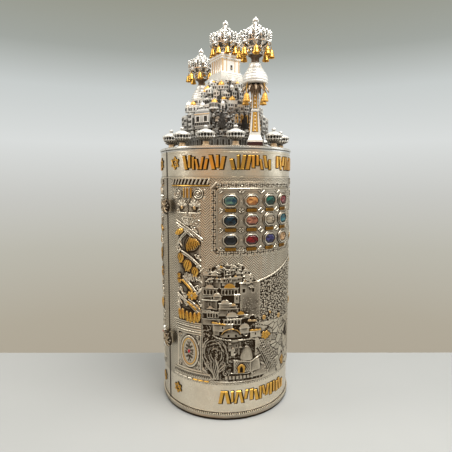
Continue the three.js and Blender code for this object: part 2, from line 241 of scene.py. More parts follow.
# ---- relief ----
def swelling(form, x, y, ru, rv, edge):
    """How high a stamp of some form stands, from 0 to 1, at (x, y) in its own radii."""
    if form in ("dome", "cap"):
        dome = np.sqrt(np.clip(1 - x * x - y * y, 0, 1))
        return dome if form == "dome" else dome * (y > -0.05)
    if form == "slab":
        return np.clip(np.minimum((1 - np.abs(x)) * ru, (1 - np.abs(y)) * rv) / edge, 0, 1)
    if form == "arch":
        return np.clip(np.where(y > 0, 1 - np.hypot(x, y), 1 - np.abs(x)) * ru / edge, 0, 1) * (y > -1)
    if form == "leaf":
        blade = np.clip(1 - np.abs(x) / np.clip(np.sqrt(np.clip(1 - y * y, 0, 1)), 0.05, 1), 0, 1)
        return np.sqrt(blade) * (0.75 + 0.25 * np.cos(y * 16 + np.abs(x) * 5)) * (np.abs(y) < 1)
    return np.clip((1 - np.hypot(x, y)) * ru / edge, 0, 1)


class Relief:
    """A patch of the wall as heights over a fine (u, v) grid, with gilding and ink on each point."""

    def __init__(self, first, last, low, high, pitch):
        self.pitch = pitch
        us = np.linspace(first, last, int((last - first) / pitch) + 1)
        vs = np.linspace(low, high, int((high - low) / pitch) + 1)
        self.u, self.v = np.meshgrid(us, vs)
        self.h = np.full(self.u.shape, -1.0)
        self.gilt = np.zeros(self.u.shape)
        self.ink = np.zeros(self.u.shape)

    def near(self, u, v, reach):
        """The part of the grid within reach of a point."""
        first = [(v - reach - self.v[0, 0]) / self.pitch, (u - reach - self.u[0, 0]) / self.pitch]
        span = 2 * reach / self.pitch + 2
        return tuple(slice(max(0, int(f)), max(0, int(f + span) + 1)) for f in first)

    def raise_to(self, s, h, shown, gilt, ink):
        """Raises the grid to h where that is higher than what is there."""
        on = shown & (h > self.h[s])
        self.h[s] = np.where(on, h, self.h[s])
        self.gilt[s] = np.where(on, gilt, self.gilt[s])
        self.ink[s] = np.where(on, ink, self.ink[s])

    def sink(self, s, cut, depth, ink, floor):
        """Lowers the grid where cut holds, down to a floor, and inks it."""
        self.h[s] = np.where(cut, np.maximum(self.h[s] - depth, floor), self.h[s])
        self.ink[s] = np.where(cut, ink, self.ink[s])

    def stamp(self, u, v, ru, rv, base, rise, form="dome", turn=0.0, gilt=0.0, ink=0.0, edge=0.8):
        """Raises one shape, where it stands above what is there."""
        s = self.near(u, v, 1.5 * max(ru, rv) + self.pitch)
        x, y = self.u[s] - u, self.v[s] - v
        c, q = math.cos(turn), math.sin(turn)
        x, y = (c * x + q * y) / ru, (c * y - q * x) / rv
        p = swelling(form, x, y, ru, rv, edge)
        self.raise_to(s, base + rise * p, p > 0, gilt, ink)

    def carve(self, u, v, ru, rv, depth, ink=1.0, arched=True):
        """Sinks a dark opening, round-headed or square."""
        s = self.near(u, v, max(ru, rv) + self.pitch)
        x, y = (self.u[s] - u) / ru, (self.v[s] - v) / rv
        inside = (np.abs(x) < 1) & (np.abs(y) < 1)
        if arched:
            inside &= (y < 0.2) | (x * x + ((y - 0.2) / 0.8) ** 2 < 1)
        self.sink(s, inside, depth, ink, 0.1)
        self.gilt[s] = np.where(inside, 0, self.gilt[s])

    def legs(self, path, width):
        """For each leg of a path of (u, v) points: the grid near it, and how far from the leg it is."""
        for (u0, v0), (u1, v1) in zip(path[:-1], path[1:]):
            length = math.hypot(u1 - u0, v1 - v0) + 1e-6
            s = self.near((u0 + u1) / 2, (v0 + v1) / 2, length / 2 + width + self.pitch)
            x, y = self.u[s] - u0, self.v[s] - v0
            t = np.clip((x * (u1 - u0) + y * (v1 - v0)) / length**2, 0, 1)
            yield s, np.hypot(x - t * (u1 - u0), y - t * (v1 - v0))

    def ridge(self, path, width, base, rise, gilt=0.0, ink=0.0):
        """A round bead along a path of (u, v) points; width is its half width."""
        for s, far in self.legs(path, width):
            p = np.sqrt(np.clip(1 - (far / width) ** 2, 0, 1))
            self.raise_to(s, base + rise * p, p > 0, gilt, ink)

    def groove(self, path, width, depth, ink=1.0):
        """A dark cut along a path of (u, v) points, following the surface."""
        for s, far in self.legs(path, width):
            self.sink(s, (far < width) & (self.ink[s] < ink), depth, ink, 0.2)

    def rubble(self, first, last, low, high, size, base, rise, draw, tones, inside):
        """Uneven stones fitted together over a region, with dark joints between them."""
        count = int((last - first) * (high - low) / size**2)
        seeds = np.column_stack([draw.uniform(first, last, count), draw.uniform(low, high, count)])
        tone = draw.uniform(*tones, count)
        lift = draw.uniform(0.5, 1.0, count)
        region = (self.u > first) & (self.u < last) & (self.v > low) & (self.v < high) & inside
        du = self.u[region][:, None] - seeds[None, :, 0]
        dv = self.v[region][:, None] - seeds[None, :, 1]
        far = np.hypot(du, 1.35 * dv)
        order = np.argpartition(far, 1, axis=1)[:, :2]
        two = np.sort(np.take_along_axis(far, order, 1), 1)
        nearest = far.argmin(1)
        joint = np.clip((two[:, 1] - two[:, 0]) / 2.6, 0, 1)
        h = base + rise * lift[nearest] * np.sqrt(joint)
        on = h > self.h[region]
        self.h[region] = np.where(on, h, self.h[region])
        self.gilt[region] = np.where(on, 0, self.gilt[region])
        self.ink[region] = np.where(on, tone[nearest] + 1.1 * (1 - joint) ** 2, self.ink[region])

    def curl(self, u, v, radius, width, base, rise, turns=1.6, hand=1, start=0.0, **look):
        """A spiral bead winding in from its radius."""
        t = np.linspace(0, 1, int(14 * turns) + 4)
        a = start + hand * 2 * math.pi * turns * t
        r = radius * (1 - 0.85 * t)
        self.ridge(list(zip(u + r * np.cos(a), v + r * np.sin(a))), width, base, rise, **look)

    def arc(self, u, v, radius, first, last, width, base, rise, squash=1.0, **look):
        """A bead along part of an oval, between two bearings in degrees."""
        a = np.radians(np.linspace(first, last, 14))
        path = list(zip(u + radius * np.cos(a), v + radius * squash * np.sin(a)))
        self.ridge(path, width, base, rise, **look)

    def grain(self, amount, scale):
        """Fine uneven chasing over the raised part."""
        across = np.sin(self.u * scale + 2.1 * np.sin(self.v * scale * 0.7))
        rough = amount * across * np.sin(self.v * scale * 1.3 + 1.7)
        self.h = np.where(self.h > 0.3, self.h + rough, self.h)

    def into(self, clay, u=0.0, cavity=1.0, mirrored=False):
        """Adds the bent mesh of what stands out of the wall, dark in its hollows and bright on its edges."""
        h = np.maximum(self.h, -0.2)
        hollow = blurred(h, 2) - h + 0.7 * (blurred(h, 5) - h) + 0.35 * (blurred(h, 12) - h)
        dark = np.clip(self.ink + cavity * np.clip(hollow, -0.35, 1.5), 0, 1)
        corners = grid_faces(*h.shape)
        corners = corners[(h.ravel()[corners] > 0.02).any(1)]
        used = np.unique(corners)
        slot = np.zeros(h.size, int)
        slot[used] = np.arange(len(used))
        flat = np.stack([self.u, self.v, h], 2).reshape(-1, 3)[used]
        faces = slot[corners]
        if mirrored:
            flat[:, 0] *= -1
            faces = faces[:, ::-1]
        clay.add(bent((flat, faces), u), self.gilt.ravel()[used], dark.ravel()[used])


def blurred(h, reach):
    """The mean height round each point of a grid."""
    span = 2 * reach + 1
    for axis in (0, 1):
        pad = [(reach + 1, reach) if a == axis else (0, 0) for a in (0, 1)]
        total = np.cumsum(np.pad(h, pad, mode="edge"), axis)
        ahead = np.take(total, range(span, total.shape[axis]), axis)
        behind = np.take(total, range(0, total.shape[axis] - span), axis)
        h = (ahead - behind) / span
    return h


# ---- materials ----
class Nodes:
    """Short calls for building one material's nodes."""

    def __init__(self, name):
        self.material = bpy.data.materials.new(name)
        self.material.use_nodes = True
        self.tree = self.material.node_tree
        self.shader = self.tree.nodes["Principled BSDF"]

    def link(self, value, socket):
        if isinstance(value, bpy.types.NodeSocket):
            self.tree.links.new(value, socket)
        else:
            socket.default_value = value

    def node(self, kind, inputs=(), **settings):
        made = self.tree.nodes.new(kind)
        for key, value in settings.items():
            setattr(made, key, value)
        for key, value in dict(inputs).items():
            self.link(value, made.inputs[key])
        return made

    def mark(self, name):
        """The value that each point carries under this name."""
        return self.node("ShaderNodeAttribute", attribute_name=name).outputs["Fac"]

    def sums(self, operation, a, b=0.0, c=0.0, clamp=False):
        made = self.node("ShaderNodeMath", {0: a, 1: b, 2: c}, operation=operation, use_clamp=clamp)
        return made.outputs[0]

    def mix(self, share, a, b):
        made = self.node("ShaderNodeMix", data_type="RGBA")
        for value, key in ((share, 0), (a, 6), (b, 7)):
            self.link(value, made.inputs[key])
        return made.outputs[2]

    def noise(self, scale, detail=3.0, rough=0.6):
        place = self.node("ShaderNodeNewGeometry").outputs["Position"]
        settings = {"Vector": place, "Scale": scale, "Detail": detail, "Roughness": rough}
        return self.node("ShaderNodeTexNoise", settings).outputs["Fac"]

    def wall(self):
        """u and v on the drum in millimetres, from the point's place."""
        place = self.node("ShaderNodeNewGeometry").outputs["Position"]
        parts = self.node("ShaderNodeSeparateXYZ", {0: place}).outputs
        angle = self.sums("ARCTAN2", parts[1], parts[0])
        return self.sums("MULTIPLY", angle, R), self.sums("MULTIPLY", parts[2], 1 / MM)

    def bump(self, height, strength, distance):
        made = self.node("ShaderNodeBump", {"Height": height, "Strength": strength, "Distance": distance})
        self.link(made.outputs[0], self.shader.inputs["Normal"])


SILVER_LIGHT = (0.83, 0.745, 0.60, 1)
SILVER_DARK = (0.040, 0.027, 0.016, 1)
WHITE_SILVER = (0.93, 0.915, 0.87, 1)
GREY_DARK = (0.030, 0.026, 0.021, 1)
GOLD_LIGHT = (0.84, 0.48, 0.10, 1)
GOLD_DARK = (0.11, 0.040, 0.006, 1)


# millimetres across one slope of the chevrons, and between lines of chevrons and of rows
ZIGZAG_WIDTH, ZIGZAG_PERIOD, ROW_PERIOD = 11.0, 5.2, 2.3


def engraving(n, hatch):
    """Fine lines over the wall, as their own wave and as the tarnish that they hold."""
    u, v = n.wall()
    if hatch == "chevrons":
        along_line = n.sums("ADD", v, n.sums("PINGPONG", u, ZIGZAG_WIDTH))
        line = n.sums("SINE", n.sums("MULTIPLY", along_line, 2 * math.pi / ZIGZAG_PERIOD))
        return line, n.sums("MULTIPLY_ADD", line, -0.42, 0.24)
    wander = n.sums("MULTIPLY", n.noise(90.0), 5.0)
    line = n.sums("SINE", n.sums("MULTIPLY_ADD", v, 2 * math.pi / ROW_PERIOD, wander))
    return line, n.sums("MULTIPLY_ADD", line, -0.07, 0.05)


def metal(name, light, shade, rough=(0.22, 0.5), grain=0.06, hatch=None, tone=0.0, polish=1.0):
    """Silver with gilding, tarnish and painted shade from the piece's marks. hatch is "chevrons" or "rows" of
    engraving.
    """
    n = Nodes(name)
    cloud = n.noise(38.0)
    speck = n.noise(420.0, 2.0)
    dark = n.sums("MULTIPLY_ADD", cloud, 0.34, n.sums("ADD", n.mark("dark"), tone - 0.17))
    height = n.sums("MULTIPLY", speck, 0.5)
    if hatch:
        line, groove = engraving(n, hatch)
        dark = n.sums("ADD", dark, groove)
        height = n.sums("ADD", height, line)
    dark = n.sums("ADD", dark, n.sums("MULTIPLY", n.sums("SUBTRACT", speck, 0.5), 0.3), clamp=True)
    gold = n.mix(dark, GOLD_LIGHT, GOLD_DARK)
    n.link(n.mix(n.mark("gilt"), n.mix(dark, light, shade), gold), n.shader.inputs["Base Color"])
    worn = n.sums("MULTIPLY_ADD", cloud, 0.3, dark)
    spread = n.node("ShaderNodeMapRange", {"Value": worn, "From Max": 1.1,
                                                    "To Min": rough[0], "To Max": rough[1]})
    n.link(spread.outputs[0], n.shader.inputs["Roughness"])
    n.shader.inputs["Metallic"].default_value = polish
    n.bump(height, 0.5, grain * MM)
    return n.material


def stone(name, deep, bright):
    """Cut glass: facets differ in tone by the dark mark, painted glints and shade standing in for light inside the
    stone, under a hard polish.
    """
    n = Nodes(name)
    facet = n.sums("SUBTRACT", n.mark("dark"), 0.22)
    # painted glints: the facet's tone with fine speckle
    facet_glint = n.sums("MULTIPLY_ADD", n.noise(260.0, 1.0), 0.5, facet, clamp=True)
    n.link(n.mix(facet_glint, bright, deep), n.shader.inputs["Base Color"])
    n.shader.inputs["Roughness"].default_value = 0.05
    n.shader.inputs["IOR"].default_value = 1.6
    return n.material


def velvet(name, deep, bright):
    """A soft dull cloth."""
    n = Nodes(name)
    n.link(n.mix(n.noise(700.0, 4.0), deep, bright), n.shader.inputs["Base Color"])
    n.shader.inputs["Roughness"].default_value = 0.9
    n.shader.inputs["Sheen Weight"].default_value = 0.6
    n.bump(n.noise(1500.0, 2.0), 0.4, 0.2 * MM)
    return n.material


def lacquer(name, deep, bright):
    """Dark wood under a coat of polish."""
    n = Nodes(name)
    n.link(n.mix(n.noise(60.0), deep, bright), n.shader.inputs["Base Color"])
    n.shader.inputs["Roughness"].default_value = 0.25
    n.shader.inputs["Coat Weight"].default_value = 0.5
    n.bump(n.noise(200.0), 0.2, 0.1 * MM)
    return n.material


WARM = metal("warm_silver", SILVER_LIGHT, SILVER_DARK, rough=(0.26, 0.5), tone=0.10)
HATCHED = metal("hatched_silver", SILVER_LIGHT, SILVER_DARK, rough=(0.30, 0.5), grain=0.30, hatch="chevrons",
                tone=0.17)
BANDED = metal("banded_silver", SILVER_LIGHT, SILVER_DARK, rough=(0.24, 0.45), grain=0.16, hatch="rows",
               tone=0.06)
BRIGHT = metal("bright_silver", WHITE_SILVER, GREY_DARK, rough=(0.16, 0.45))
FROST_LIGHT = (0.95, 0.94, 0.90, 1)


FROST_DARK = (0.022, 0.018, 0.014, 1)


FROSTED = metal("frosted_silver", FROST_LIGHT, FROST_DARK, rough=(0.38, 0.6), polish=0.5)
DARK = metal("dark_silver", SILVER_LIGHT, SILVER_DARK, rough=(0.3, 0.6), tone=0.26)
LINING = velvet("velvet_lining", (0.035, 0.008, 0.05, 1), (0.09, 0.025, 0.12, 1))
MAROON = lacquer("dark_red_polish", (0.012, 0.002, 0.002, 1), (0.05, 0.006, 0.004, 1))

# ---- the drum ----
PLAIN_LOW, PLAIN_HIGH = 76, 504  # heights between which the wall is hatched in chevrons


def wall_strip(clay, low, high, rows=8):
    """The drum's outer surface between two heights, from seam to seam."""
    edge = math.degrees(math.asin(SEAM / R))
    us = np.linspace(along(edge - 90), along(90 - edge), HALF_SIDES + 1)
    u, v = np.meshgrid(us, np.linspace(low, high, rows + 1))
    flat = np.stack([u, v, np.zeros(u.shape)], 2).reshape(-1, 3)
    clay.add(bent((flat, grid_faces(*u.shape))))


def half_turned(profile):
    """A closed profile of (radius, height) swept round a half, ending flat on the seam's plane."""
    r, z = np.array(profile, float).T
    a = np.linspace(-math.pi / 2, math.pi / 2, HALF_SIDES + 1)
    x = np.maximum(r[:, None] * np.cos(a), SEAM)
    y = r[:, None] * np.sin(a)
    points = np.stack([x, y, np.broadcast_to(z[:, None], x.shape)], 2).reshape(-1, 3)
    first = [i * (HALF_SIDES + 1) for i in range(len(r))]
    last = [i + HALF_SIDES for i in first[::-1]]
    return points, grid_faces(len(r), HALF_SIDES + 1, rows_close=True).tolist() + [first, last]


def shades(*tones):
    """One dark mark for each point of a profile, held all round a half."""
    return np.repeat(tones, HALF_SIDES + 1)


def beads(clay, radius, height, size, count, dark=0.0):
    """A rope of beads round a half."""
    for a in np.linspace(-88.5, 88.5, count):
        x, y = radius * math.cos(math.radians(a)), radius * math.sin(math.radians(a))
        clay.add(moved(ball(size, 1.0, 6, 4), x, y, height), dark=dark)


def shell(side, body, turned):
    """The half's wall with its bottom and top discs."""
    clay = Clay()
    inner, outer = R - WALL, R - 0.15
    profile = [(0, 0), (outer, 0), (outer, TOP), (0, TOP), (0, TOP - END), (inner, TOP - END),
               (inner, END), (0, END)]
    clay.add(half_turned(profile), dark=0.15)
    finished(f"{side}_shell", clay, WARM, body, [f"{side}_case"], turned)


def lining(side, body, turned):
    """Cloth over the floor, wall and ceiling inside a half, left open towards the seam."""
    clay = Clay()
    thick = 0.6
    soft, low, high = R - WALL - thick, END + thick, TOP - END - thick
    points, faces = half_turned([(0, low), (soft, low), (soft, high), (0, high)])
    clay.add((points, faces[: 3 * HALF_SIDES]))
    finished(f"{side}_lining", clay, LINING, body, (), turned)


def wall_surfaces(side, body, turned):
    """The hatched wall, the plain bands above and below it, and a dark strip down each seam, a painted shadow of the
    gap between the halves.
    """
    panel, bands, seam_shadow_strips = Clay(), Clay(), Clay()
    wall_strip(panel, PLAIN_LOW, PLAIN_HIGH, rows=60)
    wall_strip(bands, 16, PLAIN_LOW)
    wall_strip(bands, PLAIN_HIGH, TOP - 6)
    for end in (-1, 1):
        edge = end * (math.pi / 2 - math.asin((SEAM + 1.0) / R)) * R
        line = [(edge - 1.0, 3), (edge + 1.0, 3), (edge + 1.0, TOP - 4), (edge - 1.0, TOP - 4)]
        # the strip is a painted shadow standing in for the gap between the halves
        seam_shadow_strips.add(bent(([(u, v, 0.12) for u, v in line], [[0, 1, 2, 3]])), dark=1.3)
    finished(f"{side}_hatched_wall", panel, HATCHED, body, (), turned)
    finished(f"{side}_painted_seam_shadow", seam_shadow_strips, WARM, body, (), turned)
    finished(f"{side}_plain_bands", bands, BANDED, body, (), turned)


def mouldings(side, body, turned):
    """Thin hoops, the base ring over a dark hoop that paints the shadow under it, and the beaded lip at the top."""
    rings = Clay()
    for low, high, out, dark in ((PLAIN_HIGH - 1.5, PLAIN_HIGH + 0.5, 0.9, 0.0), (TOP - 14, TOP - 12.6, 0.7, 0.0),
                                 (PLAIN_HIGH + 1, PLAIN_HIGH + 2, 0.2, 0.9)):
        hoop = [(R - 0.2, low), (R + out, low + 0.4), (R + out, high - 0.4), (R - 0.2, high)]
        rings.add(half_turned(hoop), dark=dark)
    # a dark hoop under the base ring: a painted shadow where it meets the floor
    gap = [(R - 0.3, 0.1), (R + 0.1, 0.1), (R + 0.1, 4.8), (R - 0.3, 4.8)]
    rings.add(half_turned(gap), dark=1.4)
    base = [(-0.2, 4.4), (1.8, 4.4), (2.6, 5.2), (2.6, 6.0), (2.0, 6.8), (1.9, 11.4),
            (0.8, 12), (0.6, 16.2), (-0.2, 17)]
    # the base ring darkens towards its underside, painted shade; the groove under the beads holds tarnish
    tones = shades(1.2, 1.2, 0.9, 0.6, 0.45, 0.3, 1.1, 0.9, 0.6)
    rings.add(half_turned([(R + out, z) for out, z in base]), dark=tones)
    beads(rings, R + 1.6, 13.6, 1.9, 100, dark=-0.3)
    finished(f"{side}_base_moulding", rings, WARM, body, [f"{side}_base_ring"], turned)
    lip = Clay()
    cap = [(-0.2, -9.5), (0.7, -9.2), (0.9, -7), (0.4, -6.4), (0.4, -5.6), (2.0, -5),
           (2.5, -3), (2.0, -0.9), (-0.2, -0.9)]
    tones = shades(0.2, 0.2, 0.2, 0.9, 0.9, 0.15, 0.0, 0.0, 0.0)
    lip.add(half_turned([(R + out, TOP + z) for out, z in cap]), dark=tones)
    beads(lip, R + 1.4, TOP - 2.6, 1.5, 150)
    finished(f"{side}_top_moulding", lip, BRIGHT, body, [f"{side}_top_ring"], turned)


# ---- bands of strokes and stars ----
UPPER_BAND, LOWER_BAND, STROKE_HEIGHT, STAR_BEARING = 532.5, 50, 27, 76.8


def stroke(clay, u, v, width, height, slant):
    """One raised gold stroke on a wider dark plate set off to its right, a painted shadow."""
    def outline(grow, shift):
        w, h = width / 2 + grow, height / 2 + grow
        lean = slant * h
        return [(-w - lean + shift, shift - h), (w - lean + shift, shift - h), (w + lean + shift, h + shift),
                (-w + lean + shift, h + shift)]
    # the dark plate, grown and shifted right under the gold, is a painted shadow
    clay.add(bent(tile(outline(1.5, 1.5), -0.2, 0.6, 0.3), u, v - 1.6), dark=1.1)
    clay.add(bent(tile(outline(0, 0), 0.3, 2.0, 1.0), u, v), gilt=1.0, dark=0.0)


def strokes(clay, groups, v, height, seed):
    """Groups of plain upright and leaning strokes between pairs of bearings. They aren't letters."""
    draw = np.random.default_rng(seed)
    for first, last in groups:
        u = along(first)
        while u < along(last) - 6:
            width = draw.choice([4.6, 5.6, 7.0])
            tall = height * draw.choice([0.72, 0.88, 1.0])
            slant = draw.choice([-0.22, 0.0, 0.0, 0.2])
            stroke(clay, u + width / 2, v + (height - tall) / 2 * draw.choice([-1, 1]), width, tall, slant)
            u += width + draw.choice([3.6, 4.4, 5.6])


def star(clay, u, v, size):
    """A six-pointed star of two triangles, as six raised bars round a small boss."""
    for half in (0, 1):
        corners = [np.array([x, y, 0.9]) for _, _, x, y in ring(size, 3, math.pi / 2 + half * math.pi)]
        for a, b in zip(corners, corners[1:] + corners[:1]):
            path = a + (b - a) * np.linspace(0, 1, 7)[:, None]
            clay.add(bent(tube(path, 1.5, 6), u, v), gilt=1.0, dark=0.1)
            # a wider dark bar set off behind each gold bar: a painted shadow
            clay.add(bent(tube(path + [0.5, 0.6, -0.8], 2.0, 6), u, v), dark=0.9)
    clay.add(bent(tile(oval(2.6, 2.6, 8), 0, 1.6, 0.6), u, v), gilt=1.0, dark=0.2)


def bands(side, body, turned):
    """Gold strokes and stars round the bands above and below the hatched wall."""
    clay = Clay()
    strokes(clay, ((-66.8, -32.5), (-28, 10), (13.6, 46), (50, 66)), UPPER_BAND, STROKE_HEIGHT, 5)
    strokes(clay, ((-36.8, 30),), LOWER_BAND, STROKE_HEIGHT, 4)
    for end in (-1, 1):
        star(clay, along(STAR_BEARING * end), UPPER_BAND - 0.5, 12.5)
        star(clay, along(STAR_BEARING * end), LOWER_BAND, 11.5)
    finished(f"{side}_gold_strokes", clay, WARM, body, (), turned)


# ---- pillars ----
MEDALLION_UP, LEAVES_UP, SCROLLS_UP = 141.5, 446, 470.5  # heights of a pillar's main ornaments
PANEL_U = -2.6  # the pedestal's panel is a little to one side of the pillar's middle


def pillar_relief(pitch):
    """The whole pillar in relief: pedestal, fruit-wound shaft, capital and cornice."""
    p = Relief(-49, 49, 78, 503, pitch)
    cornice(p)
    volutes(p)
    capital(p)
    shaft(p)
    fruit(p)
    pedestal(p)
    frieze(p)
    return p


def capital(p):
    """Two flower-like acanthus leaves on a bright ledge, over a palmette cup."""
    for side in (-1, 1):
        u = side * 15.5
        p.stamp(u, LEAVES_UP, 13, 12.5, 0.3, 0.8, "disc", ink=0.5)
        for k in range(5):
            t = math.pi / 2 + (k - 2) * 0.62
            place = u + 7.5 * math.cos(t), LEAVES_UP + 6.5 * math.sin(t)
            p.stamp(*place, 3.2, 6.8, 0.6, 2.4, "leaf", turn=t - math.pi / 2)
        p.stamp(u, LEAVES_UP - 3, 3.4, 3.8, 1.4, 2.0, gilt=0.6, ink=0.1)
        p.ridge([(u - 13, 432), (u + 12, 432)], 1.8, 0.8, 2.0, ink=-0.1)
        p.curl(u + side * 11, 436, 4.5, 1.0, 0.8, 1.8, 1.2, side, 1.0)
        p.stamp(side * 5, 429, 4, 3, 0.5, 2.0, ink=0.1)
    p.ridge([(-7, 462), (0, 450), (7, 462)], 0.9, 0.6, 1.4, ink=0.9)
    p.ridge([(0, 450), (0, 433)], 1.1, 0.6, 1.2, ink=0.9)
    for k in range(-3, 4):
        p.stamp(k * 3.6, 416 - abs(k) * 0.6, 2.3, 9, 0.3, 2.8, "leaf", turn=-k * 0.2, ink=-0.05)
    p.stamp(0, 423.5, 12.5, 2.0, 0.6, 2.2, "slab", ink=-0.1)
    p.curl(20, 414, 6, 1.2, 0.4, 1.4, 1.2, 1, 0.3, ink=0.35)


def cornice(p):
    """Slanting dentils between bright lines, the lowest pair with one gilt."""
    p.ridge([(-46, 501), (48, 501)], 1.5, 0.4, 2.4, ink=-0.2)
    p.stamp(1, 494.5, 46, 5.2, 0.2, 1.0, "slab", ink=1.0)
    for i in range(11):
        p.ridge([(-43 + i * 8.6, 490.5), (-39 + i * 8.6, 498.5)], 1.7, 0.8, 1.8, ink=0.0)
    p.ridge([(-46, 487), (47, 487)], 1.2, 0.4, 1.6, gilt=1.0, ink=0.15)
    p.ridge([(-44, 484), (45, 484)], 0.8, 0.3, 1.0, ink=0.1)


def volutes(p):
    """A scroll on each side of a block with gilt and silver flutes."""
    for side in (-1, 1):
        u = -26.5 if side < 0 else 23
        p.stamp(u, SCROLLS_UP, 12.8, 11.5, 0.2, 0.8, "disc", ink=0.72)
        p.curl(u, SCROLLS_UP, 11.2, 1.25, 0.7, 2.0, 2.3, -side, math.pi / 2)
        p.stamp(u, SCROLLS_UP, 2.0, 2.0, 1.2, 1.6)
        p.stamp(u + side * 13, SCROLLS_UP - 8.5, 4, 3, 0.3, 1.6, "leaf", turn=side * 0.9)
        p.stamp(u + side * 14, SCROLLS_UP + 7.5, 2.6, 3, 0.3, 1.4, "leaf", turn=side * 0.4)
    p.stamp(-1.2, SCROLLS_UP + 2, 10.5, 11, 0.2, 0.9, "slab", ink=0.95)
    for u, gold in ((-9.6, 1.0), (-4.8, 0.0), (-0.6, 1.0), (3.6, 0.0), (7.8, 1.0)):
        p.stamp(u, SCROLLS_UP + 2, 1.7, 11 - 0.12 * abs(u), 1.0, 1.8, "slab", gilt=gold, ink=0.0)


def shaft(p):
    """Ribbons winding down to the right, with leaves and curls between them."""
    p.stamp(0, 306, 29, 100, 0.1, 0.7, "slab", ink=0.55, edge=2.0)
    # each ribbon's two ends and its half width
    for u0, v0, u1, v1, width in (
        (-32, 417, 33, 380, 1.5), (-32, 411, 22, 378, 1.0), (-17, 353, 24, 328, 1.7), (-30, 366, -8, 392, 1.3),
        (-8, 392, 6, 399, 1.2), (-14, 300, 22, 268, 1.1), (-30, 262, 26, 226, 1.5), (0, 253, 29, 232, 1.2),
    ):
        legs = np.linspace(0, 1, 9)
        bow = [(u0 + (u1 - u0) * t, v0 + (v1 - v0) * t + 3 * math.sin(math.pi * t)) for t in legs]
        p.ridge(bow, width, 0.9, 1.9, ink=-0.2)
        p.ridge([(u, v - 4.4) for u, v in bow], 0.9, 0.9, 1.2, ink=0.1)
    curls = (
        (-24, 372), (-28, 358), (22, 345), (26, 322), (2, 302), (-6, 298), (-22, 272), (-12, 262),
        (-26, 250), (22, 280), (24, 300), (-8, 248), (-30, 238), (26, 250), (14, 402), (-20, 400),
    )
    for k, (u, v) in enumerate(curls):
        hand = (-1) ** k
        p.curl(u, v, 5.2, 1.0, 0.9, 1.5, 1.2, hand, k, ink=0.1)
        p.stamp(u + 4, v - 5, 2.6, 6.5, 0.9, 1.8, "leaf", turn=0.7 * hand, ink=0.15)
        p.stamp(u - 6, v + 2, 1.6, 1.6, 1.0, 1.6)
    for k in range(6):
        p.stamp(-9 + k * 5.2, 300 + (k % 2), 2.0, 8.5, 0.9, 2.0, "leaf", turn=0.06 * k, ink=0.05)
    p.stamp(-28, 242, 4.4, 3.6, 1.2, 2.4, ink=-0.2)


def grapes(p, u, v):
    """A bunch of long grapes lying side by side."""
    p.stamp(u, v, 18, 15, 1.2, 1.0, "disc", gilt=0.3, ink=0.95, turn=0.6)
    for k in range(7):
        lane = k - 3
        x, y = u + lane * 3.9, v + lane * 2.2 - abs(lane) * 0.8
        tall = 13.5 - abs(lane) * 1.7
        p.stamp(x, y, 2.5, tall, 1.7, 2.6, turn=0.42 + 0.10 * lane, gilt=1.0, ink=0.12 * (k % 2))
        p.groove([(x + 2.2, y - 9), (x - 0.6, y + 8)], 0.5, 0.8)


def pomegranate(p, u, v, size, tall):
    """A round gilt fruit with dark seams and a small crown below."""
    p.stamp(u, v, size * 1.25, tall * 1.2, 0.9, 0.8, "disc", ink=0.95)
    p.stamp(u, v, size, tall, 1.2, 3.2, gilt=1.0, ink=0.05)
    for bow in (-0.75, -0.2, 0.35):
        t = np.linspace(-0.85, 0.85, 9)
        path = [(u + size * (bow * math.cos(a * 1.4) + 0.35 * a), v + tall * (a - 0.25 * bow)) for a in t]
        p.groove(path, 0.75, 0.9)
    for k in (-1, 0, 1):
        p.stamp(u + size * 0.35 * k, v - tall, 1.5, 3.4, 1.4, 1.8, "leaf", turn=k * 0.5, gilt=1.0)


def fruit(p):
    """Gilt fruit, ears and leaves down the shaft."""
    p.stamp(-24, 393, 6.0, 13, 1.4, 2.8, "leaf", turn=-1.15, gilt=1.0, ink=0.1)
    for k in range(3):
        p.ridge([(-35, 389), (-24 + k * 3, 396 - k * 3)], 0.5, 3.2, 0.8, gilt=1.0, ink=0.5)
    grapes(p, 9.5, 371)
    pomegranate(p, -20.4, 340, 9.0, 9.4)
    pomegranate(p, -2.4, 325.7, 11, 11.0)
    pomegranate(p, 15.5, 314, 8.2, 9.2)
    pomegranate(p, -26.4, 302, 5.6, 4)
    pomegranate(p, -25, 291, 7, 3)
    # dates along a stem
    for k in range(6):
        p.stamp(-12.5 + k * 3.8, 290.5 - k * 3.0, 2.6, 5.6, 1.6, 2.4, turn=0.95, gilt=1.0, ink=0.05 * (k % 3))
    # an eight-petalled flower
    for k, t, x, y in ring(1.0, 8):
        place = 8.3 + 7.4 * x, 263 + 5.4 * y
        p.stamp(*place, 3.2, 5.0, 1.6, 2.2, "leaf", turn=t - math.pi / 2, gilt=1.0, ink=0.1 * (k % 2))
    p.stamp(8.3, 263, 2.6, 2.4, 2.6, 1.6, ink=0.7)
    # an ear and a blade
    for k in range(6):
        lean = 0.9 + 0.35 * (-1) ** k
        p.stamp(-1 + k * 3.3, 247 - k * 2.2, 2.4, 4.6, 1.6, 2.2, turn=lean, gilt=1.0, ink=0.06 * (k % 2))
    p.stamp(22, 240, 2.0, 8, 1.4, 1.6, "leaf", turn=0.8, gilt=0.8, ink=0.2)
    # a row of full fruit at the foot of the shaft
    p.stamp(0, 216, 29, 13, 0.9, 0.7, "slab", ink=1.0)
    row = ((-24, 219), (-15.5, 220), (-4.5, 216.5), (4.0, 215.5), (13.5, 216), (22.5, 218.5))
    for k, (u, v) in enumerate(row):
        lean = 0.22 * (2.5 - k) / 2.5
        p.stamp(u, v, 4.7, 11.8, 1.6, 3.0, turn=lean, gilt=1.0, ink=0.04)
        p.groove([(u - 1.2 + 1.6 * lean, v + 8), (u - 0.6, v), (u + 0.6, v - 8)], 0.55, 0.8)
    # a dark patch right of the row of fruit: a painted shadow
    p.stamp(31, 216, 4, 10, 0.3, 0.8, "slab", ink=1.0)


